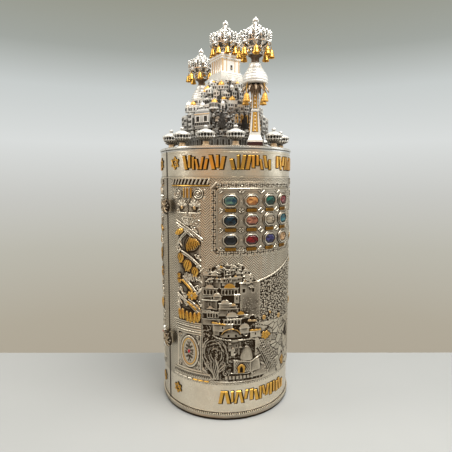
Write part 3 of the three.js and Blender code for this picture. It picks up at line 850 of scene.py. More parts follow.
def pedestal(p):
    """Mouldings over a framed panel with an oval medallion."""
    # each moulding's height, where it starts and ends, and how far it stands out
    for v, first, last, rise in (
        (205, -46, 28, 1.8), (200.5, -36, 27, 1.2), (196, -38, 27, 2.0), (190.5, -34, 27, 1.1),
        (185.5, -37, 28, 2.0), (181, -34, 28, 1.2), (102, -35, 28, 1.4), (97.5, -44, 46, 2.2),
    ):
        p.ridge([(first, v), (last, v)], 1.7, 0.5, rise, ink=-0.1)
    p.stamp(-4, 194, 33, 12, 0.2, 0.6, "slab", ink=0.5)
    for k in range(9):
        p.stamp(-33 + k * 7.2, 198, 2.2, 1.2, 0.8, 0.8, ink=0.9)
        p.stamp(-30 + k * 7.2, 188, 1.6, 1.0, 0.8, 0.8, ink=0.8)
    p.stamp(PANEL_U, MEDALLION_UP, 30.5, 39.5, 0.1, 0.7, "slab", ink=0.10, edge=1.0)
    for side in (-1, 1):
        p.ridge([(PANEL_U + side * 29.5, 104), (PANEL_U + side * 29.5, 179)], 1.2, 0.6, 1.3, ink=-0.1)
        for up in (-1, 1):
            p.stamp(PANEL_U + side * 23, MEDALLION_UP + up * 32.5, 5.4, 5, 0.5, 0.5, "slab", ink=0.7)
            p.curl(PANEL_U + side * 22.5, MEDALLION_UP + up * 32, 4.2, 0.9, 0.8, 1.3, 1.2, side * up, 0.7)
            p.stamp(PANEL_U + side * 25, MEDALLION_UP + up * 21, 1.6, 4.6, 0.7, 1.2, "leaf", turn=side * up * -0.4)
    medallion(p)


# ---- breastplate, tablets and landscape ----
PLATE_LOW, BREAST_MIDDLE = 345, 420.5
BREAST_BEARING = -2.5
GEM_PITCH, GEM_DROP, GEM_TOP = 16.9, 38.9, 457.5


def medallion(p):
    """An oval in a silver ring and a gilt one, with dark leaves round its middle."""
    outline = [(u, v) for u, v in oval(19.6, 31, 40)]
    outline.append(outline[0])
    p.stamp(0, MEDALLION_UP, 22.5, 34.5, 0.7, 1.0, "disc", ink=0.0)
    p.ridge([(u * 1.08, MEDALLION_UP + v * 1.06) for u, v in outline], 1.6, 1.5, 1.4, ink=-0.25)
    p.ridge([(u * 0.86, MEDALLION_UP + v * 0.89) for u, v in outline], 1.5, 1.6, 1.2, gilt=0.85, ink=0.28)
    for _, t, x, y in ring(1.0, 10, 0.3):
        p.stamp(6.6 * x, MEDALLION_UP + 13 * y, 1.9, 5.0, 1.4, 1.4, "leaf", turn=t - math.pi / 2, ink=1.1)
        between = t + 0.35
        p.stamp(8.5 * math.cos(between), MEDALLION_UP + 20.5 * math.sin(between), 1.7, 2.4, 1.4, 1.1, ink=1.1)
    p.stamp(0, MEDALLION_UP, 4.6, 5.6, 1.4, 1.0, "dome", ink=0.3)


def frieze(p):
    """Slanting dark marks over a row of blocks, the blocks on one side gilt."""
    p.stamp(0, 90.5, 46, 5.2, 0.1, 0.7, "slab", ink=0.0)
    for k in range(-9, 10):
        u = k * 4.9
        p.groove([(u - 2.0, 94.5), (u + 0.4, 91), (u - 0.6, 87.4)], 0.95, 0.5, 1.2)
        p.groove([(u + 1.0, 93.6), (u + 2.2, 90.4)], 0.7, 0.5, 1.1)
    for k in range(-3, 4):
        p.stamp(k * 13, 81.5, 5.6, 1.7, 0.2, 1.4, "slab", gilt=float(k > 0), ink=0.15)
        p.stamp(k * 13 + 6.5, 82.5, 0.8, 2.4, 0.2, 1.2, "slab", ink=0.8)


def plate_relief(pitch):
    """A plate with cut corners: a border of fine curls between lines, round a plain panel."""
    half_u, half_v, cut = along(41.3), 74.5, 13.0
    p = Relief(-half_u - 1, half_u + 1, PLATE_LOW, 496, pitch)
    x, y = np.abs(p.u), np.abs(p.v - BREAST_MIDDLE)
    inside = np.minimum(np.minimum(half_u - x, half_v - y), (half_u + half_v - cut - x - y) / 1.414)
    p.h = np.where(inside > 0, 0.2 + 0.8 * np.clip(inside / 1.0, 0, 1), -1.0)
    for depth, width, rise in ((1.0, 0.7, 0.4), (13.2, 0.9, 0.8)):
        near = np.clip(1 - np.abs(inside - depth) / width, 0, 1)
        p.h += np.where(inside > 0, rise * np.sqrt(near), 0)
    border = (inside > 2.0) & (inside < 12.2)
    p.ink = np.where(border, 0.72, np.where(inside > 14, 0.24 + 0.16 * np.sin(p.v * 2.3), 0.0))
    step = 4.7
    for sign in (-1, 1):
        for lane in (4.4, 9.4):
            level = [(-half_u + cut + step * (k + 0.5), BREAST_MIDDLE + sign * (half_v - lane))
                     for k in range(int(2 * (half_u - cut) / step))]
            upright = [(sign * (half_u - lane), PLATE_LOW + cut + step * (k + 0.6))
                       for k in range(int(2 * (half_v - cut) / step))]
            for side in (level, upright):
                for k, (u, v) in enumerate(side):
                    p.curl(u, v, 2.0, 0.75, 1.0, 0.7, 0.9, sign * (-1) ** k, k + lane, ink=0.3)
    return p


def gem_places():
    """Each stone's number and place on the breastplate, by rows."""
    for row in range(3):
        for column in range(4):
            yield row * 4 + column, along((column - 1.5) * GEM_PITCH), GEM_TOP - row * GEM_DROP


def rosette(p, u, v, size, base):
    """Four leaves in a cross round a small boss."""
    for _, t, x, y in ring(size * 0.5, 4, math.pi / 4):
        p.stamp(u + x, v + y, size * 0.28, size * 0.62, base, 1.0, "leaf", turn=t - math.pi / 2, ink=0.35)
    p.stamp(u, v, size * 0.26, size * 0.26, base, 1.4, ink=0.1)


def stepped(steps):
    """Eight-sided rings joined into one surface; each step is (width, height, cut corner, w)."""
    points = [(u, v, w) for width, height, corner, w in steps for u, v in octagon(width, height, corner)]
    return np.array(points), grid_faces(len(steps), 8, columns_close=True)


def bezel(clay, u, v):
    """A stepped eight-sided collar round a stone, and the gilt plaque under it."""
    steps = [(35, 29.6, 8.7, 0.3), (35, 29.6, 8.7, 2.8), (33, 27.6, 8.1, 4.0), (31.6, 26.2, 7.7, 3.6),
             (30.8, 25.4, 7.5, 3.6), (29.8, 24.4, 7.2, 5.0), (27.5, 21.5, 6.5, 5.8), (25.6, 18.4, 5.6, 5.4),
             (25.2, 18, 5.4, 2.0)]
    clay.add(bent(stepped(steps), u, v), dark=np.repeat([1.0, 0.9, 0.1, 1.0, 1.0, 0.65, 0.0, 0.6, 1.0], 8))
    plaque = v - 18.6
    clay.add(bent(tile(octagon(24, 8.6, 1.6), 0.4, 2.0, 0.5), u, plaque), dark=0.9)
    clay.add(bent(tile(octagon(21, 6.2, 1.0), 1.8, 3.4, 0.8), u, plaque), gilt=1.0, dark=0.55)
    for k in range(5):
        mark = tile(octagon(1.4, 3.8, 0.3), 3.3, 3.8, 0.2)
        clay.add(bent(mark, u - 7 + k * 3.5, plaque), gilt=1.0, dark=0.75)


GEMS = [
    ("gem_blue_gold", (0.002, 0.03, 0.06, 1), (0.14, 0.26, 0.18, 1)),
    ("gem_amber", (0.20, 0.06, 0.01, 1), (0.62, 0.30, 0.09, 1)),
    ("gem_green", (0.0004, 0.007, 0.006, 1), (0.002, 0.12, 0.08, 1)),
    ("gem_garnet", (0.04, 0.001, 0.002, 1), (0.22, 0.010, 0.012, 1)),
    ("gem_dark_blue", (0.0002, 0.001, 0.002, 1), (0.0, 0.035, 0.065, 1)),
    ("gem_rose", (0.11, 0.028, 0.014, 1), (0.42, 0.17, 0.10, 1)),
    ("gem_clear", (0.08, 0.055, 0.03, 1), (0.50, 0.42, 0.30, 1)),
    ("gem_teal", (0.001, 0.02, 0.03, 1), (0.01, 0.16, 0.20, 1)),
    ("gem_black", (0.0004, 0.0004, 0.0006, 1), (0.008, 0.008, 0.009, 1)),
    ("gem_ruby", (0.035, 0.0003, 0.0006, 1), (0.30, 0.002, 0.004, 1)),
    ("gem_violet", (0.004, 0.003, 0.022, 1), (0.055, 0.05, 0.17, 1)),
    ("gem_cream", (0.17, 0.09, 0.03, 1), (0.60, 0.37, 0.18, 1)),
]


def cut_stone(u, v, seed):
    """An emerald-cut stone: three sloping steps round a table, each facet with a tone of its own, painted light and
    shade of the stone's glints.
    """
    draw = np.random.default_rng(seed)
    steps = [(25.4, 18.2, 5.4, 2.2), (25.0, 17.8, 5.3, 3.6), (21.5, 14.3, 4.4, 4.9), (17.5, 10.6, 3.4, 5.6)]
    clay = Clay()
    edges = [[(x, y, w) for x, y in octagon(width, height, corner)] for width, height, corner, w in steps]
    for low, high in zip(edges[:-1], edges[1:]):
        # the outer steps are darker: painted shade
        deep = 1.3 if high[0][2] < 4 else 0.75
        for i in range(8):
            k = (i + 1) % 8
            facet = [low[i], low[k], high[k], high[i]]
            clay.add(bent((facet, [[0, 1, 2, 3]]), u, v), dark=deep + draw.uniform(-0.5, 0.3))
    table = edges[-1]
    middle = (draw.uniform(-4, 4), draw.uniform(-2, 2), 5.65)
    for i in range(8):
        facet = [table[i], table[(i + 1) % 8], middle]
        # the table's facets get random painted glints and shade
        clay.add(bent((facet, [[0, 1, 2]]), u, v), dark=draw.uniform(-0.1, 1.2))
    return clay


def breastplate():
    """The plate with rosettes, bezels and twelve cut stones."""
    clay = Clay()
    middle = along(BREAST_BEARING)
    p = plate_relief(0.88)
    for _, u, v in gem_places():
        p.stamp(u, v, 19.4, 17.6, 0.9, 0.3, "slab", ink=0.42)
        for side in (-1, 1):
            for up in (1, -1):
                p.ridge([(u + side * 20.5, v + up * 15), (u + side * 15, v + up * 19.5)], 0.8, 1.4, 1.2, ink=-0.2)
    columns = [along((column - 2) * GEM_PITCH) for column in range(5)]
    for row in range(4):
        v = GEM_TOP + GEM_DROP * (0.5 - row)
        if 356 < v < 485:
            for u in columns:
                rosette(p, u, v + 1, 5.0, 0.9)
    for row in range(3):
        for u in columns:
            rosette(p, u, GEM_TOP - row * GEM_DROP, 3.0, 0.9)
    p.into(clay, middle, cavity=0.8)
    for _, u, v in gem_places():
        bezel(clay, u + middle, v)
    finished("breastplate_relief", clay, WARM, "right_half", ["breastplate"])
    for i, u, v in gem_places():
        name, deep, bright = GEMS[i]
        look = stone(name, deep, bright)
        gem = cut_stone(u + middle, v, i)
        finished(f"cut_{name}", gem, look, "right_half", [f"gem_{i + 1}"], sharp=1)


def tablets():
    """Two round-topped tablets with rows of short strokes on the left half's plate."""
    clay = Clay()
    p = plate_relief(1.1)
    for side in (-1, 1):
        u = along(13 * side)
        p.stamp(u, 401, 33, 49, 0.8, 1.6, "slab", edge=1.5, ink=0.3)
        p.stamp(u, 430, 31, 31, 1.0, 3.6, "arch", edge=1.6)
        p.stamp(u, 403, 31, 40, 1.0, 3.6, "slab", edge=1.6)
        for row in range(5):
            for k in range(5):
                wide = 2.6 - (k + row) % 2
                p.stamp(u - 16 + 8 * k, 440 - row * 15, wide, 4, 4.4, 0.9, "slab", gilt=1.0, edge=0.5)
        for k in range(4):
            rosette(p, side * 84, 370 + k * 33, 9, 1.2)
    p.into(clay, along(-BREAST_BEARING), cavity=0.8)
    finished("tablets_relief", clay, WARM, "left_half", ["tablet_plate"], True)


def house(p, x, top, width, height, draw, dome=0.0, gilt=0.0, arches=0, windows=0, tone=0.5, lip=-0.25):
    """A house front under a bright roof edge, prouder the lower it is, so that it covers those behind."""
    base = 1.0 + 1.7 * np.clip((330 - top) / 130, 0, 1)
    rise = draw.uniform(0.5, 1.1)
    shade = tone + draw.uniform(-0.1, 0.12)
    p.stamp(x, top - height / 2, width / 2, height / 2, base, rise, "slab", ink=shade)
    if dome:
        tall = dome * 0.42
        bright = tone - 0.25 - 0.25 * gilt
        p.stamp(x, top + 0.6, dome / 2, tall, base, rise + 1.1, "cap", gilt=gilt, ink=bright)
        p.stamp(x, top + tall + 1.2, 0.7, 1.8, base, rise + 0.4, "slab", gilt=gilt, ink=0.1)
    p.ridge([(x - width / 2 - 0.8, top), (x + width / 2 + 0.8, top)], 1.0, base + rise, 1.0, ink=lip)
    for k in range(arches):
        bay = width / (arches + 0.4)
        p.carve(x + (k - (arches - 1) / 2) * bay, top - height * 0.55, 0.3 * bay, height * 0.32, 1.5)
    for k in range(windows):
        p.carve(x + (k - (windows - 1) / 2) * 6, top - height * 0.45, 1.3, 2.6, 1.5, arched=False)


# the path over the woods, the skyline and the highest roofs under it, in mm along and up the wall
HILL_PATH = [(108, 291), (116, 292.5), (136, 297), (162, 303.5), (188, 312), (215, 321), (256, 330)]
SKYLINE_U = [0, 12, 30, 80, 105, 118]
SKYLINE_V = [306, 322, 334, 334, 312, 294]
ROOFS_V = [304, 320, 331, 331, 310, 294]


def ground(p):
    """Slopes behind the city, rocks and woods, with the lower left corner cut off."""
    skyline = np.interp(p.u, SKYLINE_U, SKYLINE_V)
    under = np.where(p.u < 112, skyline - 4, np.interp(p.u, *np.array(HILL_PATH).T) - 2)
    corner = p.v > 84 + np.clip(28 - p.u, 0, 26)
    p.h = np.where(corner & (p.v < under), 0.75, -1.0)
    p.ink = np.where(p.u < 100, 0.62, 0.42) * (p.h > 0)


def small_houses(p, draw):
    """Small houses scattered up to the skyline, most of them domed."""
    for k in range(64):
        x = draw.uniform(6, 104)
        top = np.interp(x, SKYLINE_U, ROOFS_V) - 30 * draw.uniform(0, 1) ** 1.4
        size = draw.uniform(5, 9.5)
        dome, gilt = size * 0.9 * (k % 3 != 2), 0.7 * (k % 13 == 5)
        tone, lip = draw.uniform(0.15, 0.7), draw.uniform(-0.2, 0.4)
        house(p, x, top, size, 8, draw, dome, gilt, windows=k % 2, tone=tone, lip=lip)


def large_houses(p, draw):
    """The large houses from the top down: middle, roof height, width, height and what they carry."""
    for x, top, width, height, more in (
        (20, 308, 40, 26, {}),
        (39.5, 323, 10, 8, {"dome": 12, "gilt": 1}),
        (56, 303, 27, 16, {"tone": 0.35, "windows": 1}),
        (62, 320, 11, 10, {"windows": 1}),
        (90, 316, 13, 9, {"dome": 11, "windows": 1}),
        (76, 303, 14, 9, {"dome": 12, "tone": 0.4}),
        (93, 306, 14, 9, {"dome": 12}),
        (103, 303, 8, 7, {"dome": 7, "tone": 0.1}),
        (18, 281.6, 31, 15, {"dome": 18, "arches": 4}),
        (58, 282.5, 34, 15, {"dome": 22, "gilt": 1, "arches": 5}),
        (12.5, 265.5, 20, 8, {}),
        (33, 266, 17, 9, {"dome": 15, "tone": 0.4}),
        (72, 269, 11, 18, {"tone": 0.35, "windows": 1}),
        (18, 257, 31, 20, {"windows": 1}),
        (49, 251, 25, 13, {"dome": 17, "tone": 0.35}),
        (65.5, 246, 15, 6, {"dome": 10, "gilt": 0.6}),
        (19.7, 240, 13, 8, {"dome": 11}),
        (10, 236, 17, 7, {}),
        (24, 233, 24, 13, {"arches": 4}),
        (55.7, 240, 40, 15, {"windows": 1}),
        (62.8, 224, 22, 9, {"dome": 22, "tone": 0.35}),
        (80, 227, 16, 9, {"dome": 15, "gilt": 1}),
        (91, 226, 7, 5, {"tone": 0.0}),
        (20.6, 218, 36, 13, {}),
        (63.3, 218.8, 36, 13, {"arches": 5}),
        (44, 208, 40, 16, {"windows": 1, "tone": 0.4}),
        (88, 199, 20, 12, {"dome": 20, "tone": 0.3}),
        (112, 189, 24, 13, {"tone": 0.2, "windows": 1}),
    ):
        house(p, x, top, width, height, draw, **more)
    p.ridge([(24, 211), (49, 207.5)], 1.7, 3.0, 1.6, gilt=1.0)
    p.ridge([(100.5, 192), (123, 190)], 1.9, 3.0, 1.4, gilt=1.0)


def landscape_relief(seed, pitch):
    """The hill city, great wall, tomb, olive tree, hut, rocks, field and woods, in low relief."""
    draw = np.random.default_rng(seed)
    left = along(-51.4)
    p = Relief(left, along(48.2), 78, 350, pitch)
    p.u -= left
    ground(p)
    woods(p, draw)
    # the bright path over the woods
    for (x0, y0), (x1, y1) in zip(HILL_PATH[1:-1], HILL_PATH[2:]):
        p.ridge([(x0, y0), (x1, y1)], 2.9 - x0 * 0.007, 0.9, 1.7, ink=-0.3)
    small_houses(p, draw)
    large_houses(p, draw)
    undergrowth(p, draw)
    great_wall(p, draw)
    tomb_and_walls(p)
    olive_tree(p, 28, 88, draw)
    hut(p, draw)
    rocks_and_field(p, draw)
    # border lines: upright on the left, slanting in, then level
    p.ridge([(1.2, 300), (1.2, 112), (27, 84), (254, 82)], 1.1, 0.8, 1.2, ink=-0.2)
    p.ridge([(30, 80), (254, 78.5)], 0.8, 0.2, 0.8, ink=0.2)
    p.grain(0.14, 2.3)
    p.u += left
    return p


def woods(p, draw):
    """Round trees in uneven rows, each with a dark patch below and to its right, a painted shadow."""
    for v in np.arange(200, 332, 4.5):
        for u in np.arange(116, 258, 4.7):
            x, y = u + draw.uniform(-2.0, 2.0), v + draw.uniform(-1.8, 1.8)
            if y < np.interp(x, *np.array(HILL_PATH).T) - 5:
                size = draw.uniform(1.7, 2.7)
                p.stamp(x, y, size, size * 0.95, 0.5, draw.uniform(1.0, 2.2), ink=draw.uniform(-0.1, 0.5))
                # the dark patch is the tree's painted shadow
                p.stamp(x + 1.8, y - size, 1.3, 1.6, 0.5, 0.8, "slab", ink=1.0)


def great_wall(p, draw):
    """A high plain wall with two windows, rough lower down, a dark arch at its foot and gilt bushes by it."""
    p.stamp(101, 255, 22.5, 37, 0.9, 1.3, "slab", ink=0.42)
    for _ in range(150):
        x, y = draw.uniform(80, 122), draw.uniform(219, 262)
        ru, rv = draw.uniform(0.8, 1.6), draw.uniform(0.8, 1.3)
        p.stamp(x, y, ru, rv, 2.0, draw.uniform(0.3, 0.8), ink=draw.uniform(0.2, 0.8))
    p.ridge([(77, 292), (121, 293)], 1.2, 2.0, 1.3, ink=-0.1)
    for x in (86.5, 106.3):
        p.carve(x, 276, 2.2, 3.6, 1.9, arched=False)
    p.carve(105, 218, 5.6, 5, 2.2)
    p.arc(105, 217, 7.2, 5, 175, 1.0, 2.0, 1.3, ink=0.1)
    p.ridge([(97, 212.5), (114, 211)], 2.0, 1.6, 1.4, gilt=0.5)
    for x, y, size in ((133.8, 214.3, 5.5), (179.5, 208, 6), (150, 222, 3)):
        for k in range(8):
            u, v = x + size * 0.5 * math.cos(k * 2.4), y + size * 0.5 * math.sin(k * 2.4)
            p.stamp(u, v, size * 0.4, size * 0.5, 1.0, 2.0, gilt=0.8, ink=0.3 * draw.random())


def tomb_and_walls(p):
    """The wide domed tomb with two windows over a roped terrace line."""
    p.stamp(61, 181, 23, 17, 1.4, 2.4, "cap", ink=0.62)
    p.arc(61, 181, 20, 20, 160, 1.0, 2.6, 1.6, 0.85, gilt=0.9)
    for side in (-1, 1):
        p.carve(63 + side * 7.4, 183.5, 1.9, 2.9, 2.0)
    p.stamp(31, 193, 7, 9, 1.2, 1.8, "slab", ink=0.6)
    p.curl(92, 186, 7, 1.2, 2.0, 1.6, 1.4, 1, 0.5, ink=0.4)
    rope = [(24, 184), (32, 178.5), (54, 174), (81, 173), (104, 174), (112, 171)]
    p.ridge(rope, 1.5, 2.4, 1.3, ink=-0.3)
    for k in range(44):
        x = 25 + 2 * k
        y = np.interp(x, *np.array(rope).T)
        p.carve(x, y, 0.35, 1.6, 0.5, ink=0.6, arched=False)
    for x, y, w, ink in ((68, 163, 28, 0.6), (59, 158, 8, 0.45), (65, 148, 9, 0.35), (80, 150, 10, 0.6)):
        p.stamp(x, y, w / 2, 8, 0.9, 1.0, "slab", ink=ink)
        p.stamp(x, y + 7, w * 0.36, 4.5, 1.0, 1.7, "cap", ink=ink - 0.2)
        p.carve(x + 3, y - 1, 1.3, 2.4, 1.2)


def undergrowth(p, draw):
    """Small leaves and stones that fill the ground round the tree, the tomb and the hut."""
    for _ in range(900):
        x, y = draw.uniform(2, 132), draw.uniform(86, 204)
        if y < 84 + max(0, 28 - x):
            continue
        p.stamp(x, y, draw.uniform(0.9, 1.6), draw.uniform(2.0, 4.2), 0.75, draw.uniform(0.4, 1.2), "leaf",
                turn=draw.uniform(-1.6, 1.6), ink=draw.uniform(0.25, 0.8))


def olive_tree(p, x, v, draw):
    """A short twisted trunk whose boughs fan out, under leafy swirls in a broad round crown."""
    p.stamp(x, v + 56, 29, 43, 0.9, 0.8, ink=0.62)
    for k in range(9):
        lean = (k - 4) / 4
        t = np.linspace(0, 1, 9)
        us = x + 4 * lean + 15 * lean * t**1.6 + 2.6 * np.sin(t * 5 + k)
        vs = v + 2 + (44 - 12 * abs(lean)) * t
        p.ridge(list(zip(us, vs)), 1.3, 1.5, 1.3, ink=0.38 + 0.14 * (k % 2))
    for row in range(5):
        count = 3 + row
        for k in range(count):
            first = -50 + 290 / count * k + draw.uniform(-20, 20)
            u, up = x + draw.uniform(-4, 4), v + 56 + draw.uniform(-5, 5)
            reach = 3.5 + 5.6 * row + draw.uniform(-2, 2)
            last = first + draw.uniform(30, 60)
            rise = draw.uniform(0.8, 1.5)
            p.arc(u, up, reach, first, last, 1.0, 1.4, rise, 1.38, ink=draw.uniform(0.3, 0.6))
    for _ in range(230):
        a = draw.uniform(-1.2, 4.4)
        r = 29 * draw.uniform(0.0, 1.0) ** 0.6
        rise, turn = draw.uniform(0.6, 1.6), a + draw.uniform(-0.3, 0.8)
        place = x + r * math.cos(a), v + 58 + 1.36 * r * math.sin(a)
        p.stamp(*place, 0.95, 2.8, 1.3, rise, "leaf", turn=turn, ink=draw.uniform(0.3, 0.9))
    for side in (-1, 1):
        for k in range(3):
            p.curl(x + side * (15 + 3 * k), v + 36 - 11 * k, 5.0, 0.95, 1.2, 1.4, 1.1, side, k, ink=0.45)


def hut(p, draw):
    """A stone hut with a gilt arched door, its right wall in view, a dome behind and paving before it."""
    p.stamp(93, 131, 14, 29, 1.4, 2.6, "cap", ink=0.30)
    for k in range(9):
        p.ridge([(81 + 3 * k, 134), (84 + 2.4 * k, 158)], 0.5, 3.0, 0.5, ink=0.5)
    p.stamp(84, 117, 18.5, 13.5, 1.0, 2.4, "slab", ink=0.42)
    p.stamp(113, 116, 11, 12.5, 1.0, 1.8, "slab", ink=0.25, turn=0.12)
    for row in range(7):
        for k in range(9):
            p.carve(67.5 + k * 4.2 + 2.1 * (row % 2), 106 + row * 3.6, 0.35, 1.5, 0.4, ink=0.8, arched=False)
        p.ridge([(66.5, 104.2 + row * 3.6), (101, 104.2 + row * 3.6)], 0.35, 3.2, 0.2, ink=0.85)
    p.ridge([(65, 131.5), (102.3, 125), (124, 135.5)], 1.3, 3.0, 1.2, ink=-0.25)
    p.ridge([(102.3, 125), (102.3, 103)], 0.9, 3.0, 0.9, ink=-0.05)
    p.stamp(81.7, 113, 7.2, 9.6, 3.2, 1.2, "arch", gilt=1.0, ink=0.1)
    for k in range(7):
        p.arc(81.7, 113, 7.0, 5 + 26 * k, 18 + 26 * k, 1.2, 3.6, 1.4, 1.15, gilt=1.0, ink=0.1)
    p.carve(81.7, 110.5, 2.7, 6.5, 2.6)
    p.ridge([(61, 103), (97, 100.5), (108, 106)], 1.0, 2.0, 1.2, ink=-0.2)
    for k in range(8):
        p.stamp(51 + k * 12.2 / 1.6, 93, 3.3, 4.2, 0.8, 1.5, "slab", ink=0.38, edge=1.6)
    p.stamp(124, 92, 26, 24, 0.8, 2.0, "cap", ink=0.3, edge=3)
    for k in range(30):
        p.stamp(draw.uniform(104, 146), draw.uniform(92, 108), 2.6, 2.0, 1.6, 1.4, ink=draw.uniform(0.0, 0.6))


def bush(p, x, y, width, height, count, spread, leaf, base, rise, gilt, inks, draw):
    """Gilt tufts in a spiral."""
    for k in range(count):
        t, r = k * 2.4, spread * math.sqrt(k)
        place = x + width * r * math.cos(t), y + height * r * math.sin(t)
        p.stamp(*place, *leaf, base, rise, gilt=gilt, ink=draw.uniform(*inks))


def rocks_and_field(p, draw):
    """Flagstones with dark joints, two gilt bushes, and a cross-ploughed strip."""
    slope = (p.v < 206 - 0.05 * (p.u - 100)) & (p.u + 0.35 * (p.v - 90) > 122)
    broken = slope & (np.sin(p.u * 0.23) + np.sin(p.v * 0.31) > 0.9)
    p.rubble(112, 258, 84, 206, 16.0, 0.7, 1.7, draw, (-0.15, 0.30), slope)
    p.rubble(112, 258, 84, 206, 7.0, 1.5, 0.6, draw, (0.1, 0.5), broken)
    for k in range(9):
        x, y = 114 + k * 5.2, 158 - k * 6.2
        p.ridge([(x, y), (x + 15, y - 8), (x + 26, y - 5)], 0.9, 1.9, 1.1, ink=0.35)
    for k in range(7):
        x = 116 + k * 4.6
        p.ridge([(x, 160), (x + 14, 132), (x + 32, 96)], 0.9, 1.9, 1.1, ink=0.35)
    bush(p, 138, 176, 11.5, 7.5, 16, 0.24, (3.4, 2.6), 2.2, 1.9, 1.0, (0, 0.25), draw)
    bush(p, 195, 102, 7, 10, 12, 0.26, (2.6, 3.2), 2.0, 1.6, 0.9, (0.2, 0.5), draw)
    for k in range(3):
        x, drop = 4 * k, 5 * k
        p.ridge([(112 + x, 166 - drop), (128 + x, 168 - drop), (148, 164 - drop)], 1.0, 1.6, 1.0, ink=0.0)


def wall_reliefs():
    """The pillars and landscapes. Those that the breastplate side doesn't show have a coarser grid."""
    fine, plain = pillar_relief(0.85), pillar_relief(1.05)
    for side, body, turned in HALVES:
        for name, end in (("front", -1), ("back", 1)):
            mirrored = (end > 0) != turned
            middle = along(end * PILLAR_BEARING * (-1 if turned else 1))
            node = f"{side}_{name}_pillar"
            clay, jewel = Clay(), Clay()
            pillar = fine if name == "front" and not turned else plain
            pillar.into(clay, middle, cavity=0.85, mirrored=mirrored)
            finished(f"{node}_relief", clay, WARM, body, [node], turned)
            jewel.add(bent(tile(oval(2.8, 3.8, 10), 2.5, 4.6, 1.2), middle, MEDALLION_UP + 0.5), dark=0.2)
            finished(f"{side}_{name}_medallion_stone", jewel, RED_STONE, body, (), turned)
    for side, body, turned in HALVES:
        clay = Clay()
        land = landscape_relief(3 + turned, 1.25 if turned else 0.86)
        land.into(clay, cavity=0.85, mirrored=turned)
        finished(f"{side}_landscape_relief", clay, DARK, body, [f"{side}_landscape"], turned)


# ---- what stands on the rim ----
def rim_bowl():
    """A low covered bowl on a gilt foot, with a row of round dark openings under its broad rim and a knob.

    It comes back as its shape, its gilding and its dark mark: painted shade under the cup and on the stem, tarnish in
    the flutes and chasing, and the dark openings."""
    foot = [(0.1, 0), (8.4, 0), (8.6, 1.4), (7.2, 3), (6.0, 5.5), (6.4, 8.5), (5.0, 10.2), (4.8, 11.2)]
    bowl = [(8.4, 12.6), (12.5, 14.4), (15.6, 16.2), (17.0, 17.6), (17.6, 19), (18.0, 20.6), (18.2, 22.2),
            (18.1, 23.8), (18.6, 24.6), (19.0, 25.6)]
    cover = [(18.2, 26.8), (16.2, 28.0), (13.6, 29.6), (11.0, 30.6), (7.5, 32.4), (4.0, 33.6), (2.8, 34.6)]
    top = [(2.6, 35.4), (4.0, 36.6), (4.5, 38.4), (3.6, 40.2), (0.1, 41)]
    points, faces = lathe([*foot, *bowl, *cover, *top], 96)
    r = np.hypot(points[:, 0], points[:, 1])
    a = np.arctan2(points[:, 1], points[:, 0])
    z = points[:, 2]
    share = np.abs(np.mod(a * 16 / (2 * math.pi), 1) - 0.5)
    opening = (share / 0.38) ** 2 + ((z - 21.0) / 3.3) ** 2 < 1
    lid, cup = (z > 25.2) & (z < 33.5), (z > 12) & (z < 17.2)
    chased = np.cos(12 * a) * np.cos(z * 2.2)
    fluted = np.cos(16 * a)
    swell = np.where(opening, 0.84, np.where(lid, 1 + 0.05 * chased, 1.0))
    swell = np.where(cup, 1 + 0.05 * fluted, swell)
    points[:, :2] *= swell[:, None]
    # the cup's lower side is darkened as painted shade, with tarnish in its flutes
    dark = np.where(opening, 1.1, np.where(cup, 0.85 - 0.3 * fluted, 0.22))
    # the stem under the cup is dark: painted shade
    dark = np.where((z > 9) & (z < 13), 0.9, np.where(z < 9, 0.25, dark))
    dark = np.where((z > 33.0) & (z < 35.5) & (r < 5), 0.6, dark)
    dark = np.where(lid, 0.12 - 0.12 * chased, dark)
    return (points, faces), np.where(z < 9, 0.55, 0.0), dark


def crown_band(clay, band, height, sides):
    """A moulded band with a ring of beads and a dark floor inside it, painted shade inside the crown."""
    low = [(-1.6, 0), (0.4, 0), (1.2, 1.4), (0.2, 2.6)]
    high = [(-0.8, 0.16), (1.2, 0.18), (1.2, 0.215), (-1.6, 0.22)]
    base = [(band + out, z) for out, z in low] + [(band + out, height * share) for out, share in high]
    tones = [0.6, 0.2, 0.0, 0.75, 0.75, 0.0, 0.0, 0.4, 0.6]
    clay.add(lathe([*base, base[0]], sides), dark=np.repeat(tones, sides))
    # a dark disc across the inside: painted shade
    clay.add(lathe([(0.1, height * 0.1), (band - 1, height * 0.1)], 24), dark=0.9)
    for k, _, x, y in ring(band - 0.4, 16):
        clay.add(moved(ball(2.6, 1.2, 7, 5), x, y, height * 0.105), float(k % 4 == 0), 0.05)


def crown_rib(clay, t, spacing, arc, reach, height):
    """A beaded rib between two leaf edges, with short veins out to them."""
    rise = height * arc
    path = np.stack([reach * math.cos(t), reach * math.sin(t), rise], 1)
    clay.add(tube(path, 1.5, 6), dark=0.1)
    for j in range(1, 20, 2):
        clay.add(moved(ball(2.2 - 0.03 * j, 1.0, 6, 4), *path[j]), dark=0.0)
    leaf = np.maximum(np.sin((arc - 0.2) / 0.58 * math.pi), 0) ** 0.7
    for lean in (-1, 1):
        s = t + lean * spacing / 2 * 0.86 * leaf
        edge = np.stack([reach * 0.98 * np.cos(s), reach * 0.98 * np.sin(s), rise], 1)
        clay.add(tube(edge, 1.45, 5), dark=0.08)
        for j in range(3, 19, 3):
            far = reach[j] * 0.97
            tip = [far * math.cos(s[j]), far * math.sin(s[j]), rise[j]]
            root = [far * math.cos(t), far * math.sin(t), rise[j] - height * 0.05]
            clay.add(tube([root, tip], 0.95, 5), dark=0.15)
            clay.add(moved(ball(1.7, 1.0, 5, 4), *tip), dark=0.0)


